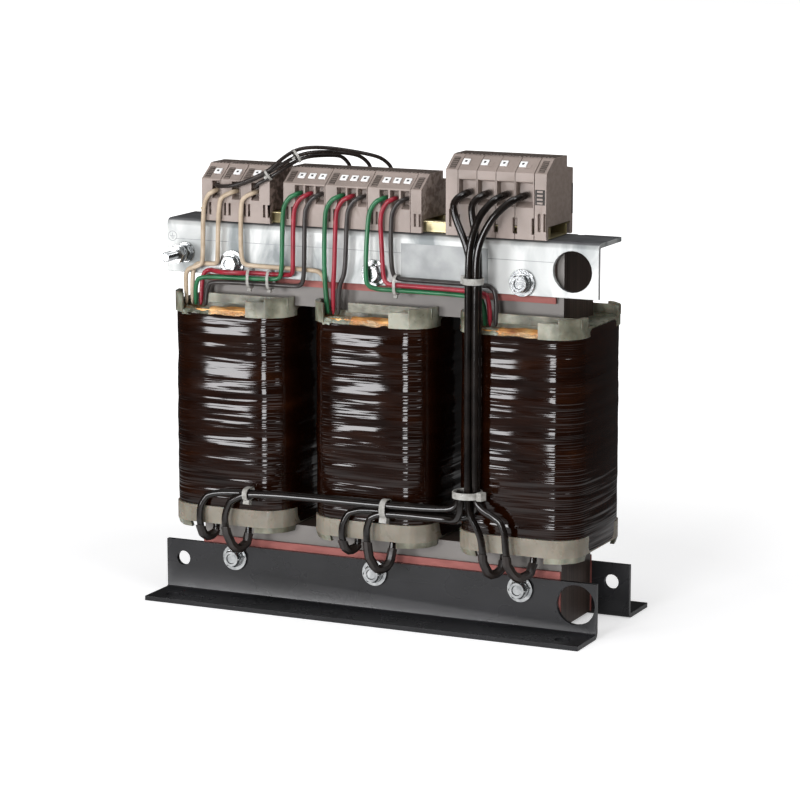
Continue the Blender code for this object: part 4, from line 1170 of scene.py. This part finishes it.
def coils():
    """Wraps, formers, copper and films of all three coils."""
    moulding, copper, film = former_skin(), copper_skin(), film_skin()
    for side in SIDES:
        coil_wrap(side)
        former(side, moulding)
        lip_posts(side, moulding)
        solid(f"inner_winding_{side}", copper)
        winding_ends(side, copper)
        for face in FACES:
            end_film(side, face, "amber", COPPER_LEFT, TURN_RIGHT, film)
            end_film(side, face, "clear", TURN_LEFT, COPPER_LEFT, moulding)


# Terminals
SMALL_HEIGHT = 0.0353
LARGE_HEIGHT = 0.0485
TOOL_HOLE_SHARE = 0.42
TOOL_HOLE_DEPTH = 0.004
TOOL_HOLE_PLACES = (-0.1, 0.16)
POCKET = 0.004
POCKET_DEPTH = 0.0008
MARKER = 0.0046
MARKER_THICK = 0.0008
MARKER_DOT = 0.0015
MARKER_RISE = 0.001
MARKER_EDGE = 0.0002
SEAM_WIDTH = 0.0026
SEAM_DEPTH = 0.0035
SEAM_SHARES = (0.07, 0.27)
LADDER_RUNGS = 6
LADDER_WIDTH = 0.004
LADDER_GAP = 0.001
RUNG_RISE = 0.0005
COMB_PITCH = 0.0023
COMB_SIZE = (0.0013, 0.016, 0.0005)
COMB_SHARE = 0.22
WINDOW_X = (0.06, 0.86)
WINDOW_Z = (0.44, 0.63)
WINDOW_RUNGS = 4
WINDOW_INSET = 0.17
WINDOW_RUNG_START = 0.25
BACK_EDGE = 0.0022
BACK_EDGE_START = 0.25
# Sizes of one kind of terminal. The shift moves its tags along X
Group = namedtuple("Group", "height spacer pole poles count shift")
GROUPS = {
    "signal": Group(SMALL_HEIGHT, 0.0072, 0.0066, 1, 3, -0.0015),
    "phase": Group(SMALL_HEIGHT, 0.0075, 0.0072, 3, 3, -0.0008),
    "power": Group(LARGE_HEIGHT, 0.0, 0.0125, 1, 4, -0.0034),
}
# Both ends of each front slope, as shares of the depth and the height
SLOPES = {
    SMALL_HEIGHT: ((-0.5, 0.75), (-0.25, 0.95)),
    LARGE_HEIGHT: ((-0.5, 0.83), (-0.25, 0.98)),
}
# Node, height and finish of each end section
END_SECTIONS = (
    ("phase_end_clamp", SMALL_HEIGHT, "phase"),
    ("power_end_clamp_left", LARGE_HEIGHT, "power"),
    ("power_end_clamp_right", LARGE_HEIGHT, "power"),
)


def pole_centres(node, group):
    """X of each pole's centre in one terminal."""
    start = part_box(node)[0].x + group.spacer
    return [start + group.pole * (index + 0.5) for index in range(group.poles)]


def slope_box(shape, node, height, *spans):
    """Adds a box on a terminal's front slope, from its spans in X, along and out of the slope."""
    low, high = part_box(node)
    depth = high.y - low.y
    middle_y = (low.y + high.y) / 2
    start, end = (Vector((0, middle_y + y * depth, low.z + z * height)) for y, z in SLOPES[height])
    along = (end - start).normalized()
    outward = Vector((0, -along.z, along.y))
    turn = Matrix((Vector((1, 0, 0)), along, outward)).transposed().to_4x4()
    x, reach, rise = ((a + b) / 2 for a, b in spans)
    place = (start + end) / 2 + along * reach + outward * rise
    place.x = x
    add_cube(shape, place, [b - a for a, b in spans], turn)


def tags(node, group, housing, skins):
    """White marker tags with a dot of painted shade for the sight hole, one on each pole's slope."""
    shapes = {key: bmesh.new() for key in ("filler", "tags", "dots")}
    half = POCKET / 2
    for x in pole_centres(node, group):
        seat = ((x - half, x + half), (-half, half), (-POCKET_DEPTH, 0.0))
        slope_box(shapes["filler"], node, group.height, *seat)
        for key, size, rise in (
            ("tags", MARKER, (-SKIN_GAP, MARKER_THICK)),
            ("dots", MARKER_DOT, (MARKER_THICK - SKIN_GAP, MARKER_THICK + SKIN_GAP)),
        ):
            across = (x + group.shift - size / 2, x + group.shift + size / 2)
            along = (MARKER_RISE - size / 2, MARKER_RISE + size / 2)
            slope_box(shapes[key], node, group.height, across, along, rise)
    piece(f"tag_seats_{node}", shapes["filler"], housing, "terminal_plastic")
    soften(piece(f"tags_{node}", shapes["tags"], skins["white"], "terminal_plastic"), MARKER_EDGE)
    piece(f"tag_dots_{node}", shapes["dots"], skins["dark"], "terminal_plastic")


def ladder(node, height, x, skins):
    """A flush strip of painted shade for a sunk groove, with fine rungs on the slope of a spacer."""
    (y0, z0), (y1, z1) = SLOPES[height]
    low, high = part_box(node)
    reach = math.hypot((y1 - y0) * (high.y - low.y), (z1 - z0) * height) / 2 - LADDER_GAP
    strip, rungs = bmesh.new(), bmesh.new()
    span = (x - LADDER_WIDTH / 2, x + LADDER_WIDTH / 2)
    slope_box(strip, node, height, span, (-reach, reach), (-SKIN_GAP, SKIN_GAP))
    pitch = 2 * reach / LADDER_RUNGS
    for index in range(LADDER_RUNGS):
        start = -reach + pitch * index
        slope_box(rungs, node, height, span, (start, start + pitch / 2), (-SKIN_GAP, RUNG_RISE))
    piece(f"strip_{node}", strip, skins["dark"], "terminal_plastic")
    piece(f"rungs_{node}", rungs, skins["rungs"], "terminal_plastic")


def comb(node, skin):
    """A row of small ribs along the front of a terminal's top."""
    low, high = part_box(node)
    width, length, rise = COMB_SIZE
    front = (low.y + high.y) / 2 - COMB_SHARE * (high.y - low.y)
    count = max(1, int((high.x - low.x) / COMB_PITCH))
    start = (low.x + high.x - (count - 1) * COMB_PITCH) / 2
    shape = bmesh.new()
    for index in range(count):
        x = start + index * COMB_PITCH
        near = (x - width / 2, front, high.z - SKIN_GAP)
        add_box(shape, near, (x + width / 2, front + length, high.z + rise))
    piece(f"comb_{node}", shape, skin, "terminal_plastic")


def front_grille(node, height, skins):
    """A window of painted shade with rungs on an end section's front, and a painted shadow along its
    side's back edge.
    """
    low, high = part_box(node)
    width = high.x - low.x
    left, right = (low.x + share * width for share in WINDOW_X)
    bottom, top = (low.z + share * height for share in WINDOW_Z)
    dark, rungs = bmesh.new(), bmesh.new()
    add_box(dark, (left, low.y - SKIN_GAP, bottom), (right, low.y + SKIN_GAP, top))
    pitch = (top - bottom) / WINDOW_RUNGS
    inset = width * WINDOW_INSET
    for index in range(WINDOW_RUNGS):
        start = bottom + pitch * (index + WINDOW_RUNG_START)
        near = (left + inset, low.y - RUNG_RISE, start)
        add_box(rungs, near, (right - inset, low.y, start + pitch / 2))
    # Painted shadow along the back edge of the side
    near = (high.x - SKIN_GAP, high.y - BACK_EDGE, low.z + height * BACK_EDGE_START)
    add_box(dark, near, (high.x + SKIN_GAP, high.y, top))
    piece(f"window_{node}", dark, skins["dark"], "terminal_plastic")
    piece(f"window_rungs_{node}", rungs, skins["power"], "terminal_plastic")


def tool_holes(shape, node, group):
    """Adds the square tool holes over each pole to the shape that is cut out."""
    low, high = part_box(node)
    half = group.pole * TOOL_HOLE_SHARE / 2
    for x in pole_centres(node, group):
        for share in TOOL_HOLE_PLACES:
            y = (low.y + high.y) / 2 + share * (high.y - low.y)
            near = (x - half, y - half, high.z - TOOL_HOLE_DEPTH)
            add_box(shape, near, (x + half, y + half, high.z + TOOL_HOLE_DEPTH))


def seams(shape, node, height):
    """Adds the slots between two large terminals to the shape that is cut out."""
    low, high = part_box(node)
    bottom, top = (low.z + share * height for share in SEAM_SHARES)
    for x in (low.x, high.x):
        near = (x - SEAM_WIDTH / 2, low.y - SEAM_DEPTH, bottom)
        add_box(shape, near, (x + SEAM_WIDTH / 2, low.y + SEAM_DEPTH, top))


def terminal(node, kind, skins):
    """A rail terminal with its tool holes, ribbed strips and marker tags."""
    group = GROUPS[kind]
    item = piece(f"housing_{node}", copied(node), skins[kind], "terminal_plastic", node)
    cuts = bmesh.new()
    tool_holes(cuts, node, group)
    if kind == "power":
        seams(cuts, node, group.height)
    cut(item, cuts, f"slots_{node}")
    soften(item, TRIM_EDGE, 1)
    tags(node, group, skins[kind], skins)
    if group.spacer:
        ladder(node, group.height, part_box(node)[0].x + group.spacer / 2, skins)
    comb(node, skins["rungs"])


def end_section(node, height, skin, skins):
    """End section with softened edges, a ladder on its slope and a comb on its top."""
    low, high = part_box(node)
    item = piece(f"housing_{node}", copied(node), skins[skin], "terminal_plastic", node)
    soften(item, TRIM_EDGE, 1)
    ladder(node, height, (low.x + high.x) / 2, skins)
    comb(node, skins["rungs"])
    if node.endswith("right"):
        front_grille(node, height, skins)


def terminals():
    """All terminals and end sections on the rail."""
    skins = {kind: terminal_skin(kind) for kind in GROUPS}
    skins["rungs"] = plain_skin("rung_brown")
    skins["white"] = plain_skin("marker_white")
    # The dark skin is painted shade for flat holes, strips and edges
    skins["dark"] = plain_skin("painted_recess_shade")
    for kind, group in GROUPS.items():
        for index in range(1, group.count + 1):
            terminal(f"{kind}_terminal_{index}", kind, skins)
    for values in END_SECTIONS:
        end_section(*values, skins)


# Leads
THIN_RADIUS = 0.00145
LINK_RADIUS = 0.0012
THICK_RADIUS = 0.00225
TUBE_SHRINK = 0.108
LEAD_LEVELS = 2
SLEEVE_RADIUS = 0.003
SLEEVE_CUT = (0.0, -0.044, 0.0485)
SLEEVE_TILT = (0.0, 0.42, 1.0)
# Start of the nodes' names, or the end of a tap lead's, with the slot and the radius
LEADS = (
    ("signal_lead", "beige_sleeve", THIN_RADIUS),
    ("green", "green_sleeve", THIN_RADIUS),
    ("red", "red_sleeve", THIN_RADIUS),
    ("black", "black_sleeve", THIN_RADIUS),
    ("signal_link", "thin_black_sleeve", LINK_RADIUS),
)
THICK_LEADS = ("power_lead", "star_link")


def smooth_lead(node, radius, skin, slot):
    """A round, smoothly bent lead along the solid's own route."""
    shape = tube_copy(node)
    swell(shape, radius * TUBE_SHRINK)
    item = piece(f"wire_{node}", shape, skin, slot, node)
    item.data.shade_smooth()
    rounder = item.modifiers.new("round", "SUBSURF")
    rounder.levels = LEAD_LEVELS
    rounder.render_levels = LEAD_LEVELS


def shrink_sleeve(node, skin):
    """Shrink sleeve over the looped end of a thick lead."""
    shape = tube_copy(node)
    split(shape, SLEEVE_CUT, SLEEVE_TILT, clear_outer=True)
    swell(shape, SLEEVE_RADIUS - THICK_RADIUS)
    bmesh.ops.holes_fill(shape, edges=[edge for edge in shape.edges if edge.is_boundary])
    soften(piece(f"sleeve_{node}", shape, skin, "gloss_black_sleeve"), TRIM_EDGE)


def leads():
    """All leads in their colours, and the sleeves over the thick ones."""
    for key, slot, radius in LEADS:
        skin = plain_skin(f"lead_{slot}")
        for node in sorted(NODES):
            if node.startswith(key) or (node.startswith("tap_lead") and node.endswith(key)):
                smooth_lead(node, radius, skin, slot)
    gloss, shrink = plain_skin("lead_gloss_black"), plain_skin("shrink_sleeve_black")
    for node in sorted(NODES):
        if node.startswith(THICK_LEADS):
            smooth_lead(node, THICK_RADIUS, gloss, "gloss_black_sleeve")
            shrink_sleeve(node, shrink)


# Cable ties
TIE_STRAP = 0.0008
TIE_HEAD_SHARE = 1.25
TIE_HEAD_RISE = 0.7
TIE_CORNER = 0.8
TIE_TURN = math.radians(12)
TIE_POINTS = 48
STEEP = 0.8
ALONG_X, UPRIGHT = (1, 0, 0), (0, 0, 1)
BELOW, IN_FRONT = (0, -0.3, -1), (0, -1, -0.3)
# Name, place, axis, half width and half height of the bundle, the head's side, the strap's width
TIES = (
    ("run_left", (-0.0844, -0.0333, 0.209), ALONG_X, (0.0046, 0.0058), (0, -0.2, -1), 0.002),
    ("run_inner", (-0.0705, -0.0333, 0.2088), ALONG_X, (0.0046, 0.0058), (0, -0.2, -1), 0.002),
    ("run_right", (0.0167, -0.0333, 0.211), ALONG_X, (0.0042, 0.0058), (0, -0.2, -1), 0.002),
    ("bundle_top", (0.0745, -0.0481, 0.219), UPRIGHT, (0.0056, 0.0056), (-1, 0.6, 0), 0.004),
    ("bundle_low", (0.0722, -0.0505, 0.088), UPRIGHT, (0.0082, 0.0082), (1, -0.3, 0), 0.0042),
    ("bottom_centre", (0.016, -0.0481, 0.0732), ALONG_X, (0.0054, 0.0054), BELOW, 0.004),
    ("bottom_left", (-0.0796, -0.0481, 0.074), ALONG_X, (0.0054, 0.0034), BELOW, 0.0034),
    ("link_lower", (-0.0705, -0.035, 0.2748), (0.75, 0.25, 0.6), (0.003, 0.003), IN_FRONT, 0.0016),
    ("link_upper", (-0.056, -0.0252, 0.2863), (0.6, 0.6, 0.5), (0.0034, 0.0038), IN_FRONT, 0.0016),
)


def tie(name, place, axis, halves, head_side, width, skin):
    """A nylon tie: a flat strap round the bundle and its head."""
    along = Vector(axis).normalized()
    up = Vector((0, 0, 1)) if abs(along.z) < STEEP else Vector((0, 1, 0))
    across = along.cross(up).normalized()
    up = across.cross(along)
    half_across, half_up = halves
    corner = min(halves) * TIE_CORNER
    outline = arcs_outline(half_across, half_up, corner, TIE_TURN, TIE_TURN, TIE_POINTS)
    rings = []
    for point, outward in outline:
        ring = []
        for out, over in ((0, -1), (1, -1), (1, 1), (0, 1)):
            spot = point + outward * TIE_STRAP * out
            ring.append(Vector(place) + across * spot.x + up * spot.y + along * over * width / 2)
        rings.append(ring)
    shape = skin_rings(rings, cap=False, endless=True)
    side = Vector(head_side).normalized()
    reach = half_across * abs(side.dot(across)) + half_up * abs(side.dot(up)) + TIE_STRAP
    centre = Vector(place) + side * reach
    turn = Matrix((along, side, along.cross(side))).transposed().to_4x4()
    head = width * TIE_HEAD_SHARE
    add_cube(shape, centre, (head, head * TIE_HEAD_RISE, head), turn)
    soften(piece(f"tie_{name}", shape, skin, "former_plastic"), TRIM_EDGE)


def ties():
    """All cable ties."""
    nylon = plain_skin("tie_nylon", Transmission_Weight=0.35, IOR=1.2)
    for values in TIES:
        tie(*values, nylon)


# Plate, scribed line and earth sign on the top bracket
PLATE_X = (0.018, 0.076)
PLATE_Z = (0.211, 0.2365)
PLATE_THICK = 0.0003
PLATE_EDGE = 0.00015
LINE_X = (-0.14, 0.119)
LINE_Z = 0.2305
LINE_HALF = 0.00018
SIGN_PLACE = (-0.142, 0.232)
SIGN_RADIUS = 0.0032
SIGN_SIDES = 40
SIGN_LINE = 0.00035
SIGN_STEM = 0.002
# Drop and half length of the sign's bars
SIGN_BARS = ((0.0, 0.0019), (0.0008, 0.0013), (0.0016, 0.0007))


def flat_mark(shape, x_span, z_span, rise=SKIN_GAP):
    """Adds a thin box on the front of the top bracket."""
    near = (x_span[0], PLATE_FACE - rise, z_span[0])
    add_box(shape, near, (x_span[1], PLATE_FACE + SKIN_GAP, z_span[1]))


def earth_sign(shape):
    """Adds the general earth sign: a ring, a stem and three bars."""
    x, z = SIGN_PLACE
    middle = Vector((x, PLATE_FACE, z))
    lift = Vector((0, SKIN_GAP, 0))
    rings = []
    for angle, across, up in circle(SIGN_SIDES):
        direction = Vector((across, 0, up))
        near = middle + direction * (SIGN_RADIUS - SIGN_LINE)
        far = middle + direction * SIGN_RADIUS
        rings.append([near - lift, far - lift, far + lift, near + lift])
    skin_rings(rings, shape, cap=False, endless=True)
    line = SIGN_LINE / 2
    for drop, half in SIGN_BARS:
        flat_mark(shape, (x - half, x + half), (z - drop - line, z - drop + line))
    flat_mark(shape, (x - line, x + line), (z, z + SIGN_STEM))


def bracket_marks():
    """Bare rating plate, the scribed line and the earth sign."""
    shape = bmesh.new()
    flat_mark(shape, PLATE_X, PLATE_Z, PLATE_THICK)
    soften(piece("bare_plate", shape, plain_skin("plate_foil"), "bright_zinc"), PLATE_EDGE)
    shape = bmesh.new()
    line = (LINE_Z - LINE_HALF, LINE_Z + LINE_HALF)
    flat_mark(shape, (LINE_X[0], PLATE_X[0]), line)
    flat_mark(shape, (PLATE_X[1], LINE_X[1]), line)
    earth_sign(shape)
    piece("scribed_marks", shape, plain_skin("scribe_grey"), "bright_zinc")


def main():
    """Builds the studio and every piece."""
    camera()
    studio()
    core_and_sheets()
    fasteners()
    coils()
    terminals()
    leads()
    ties()
    bracket_marks()


main()
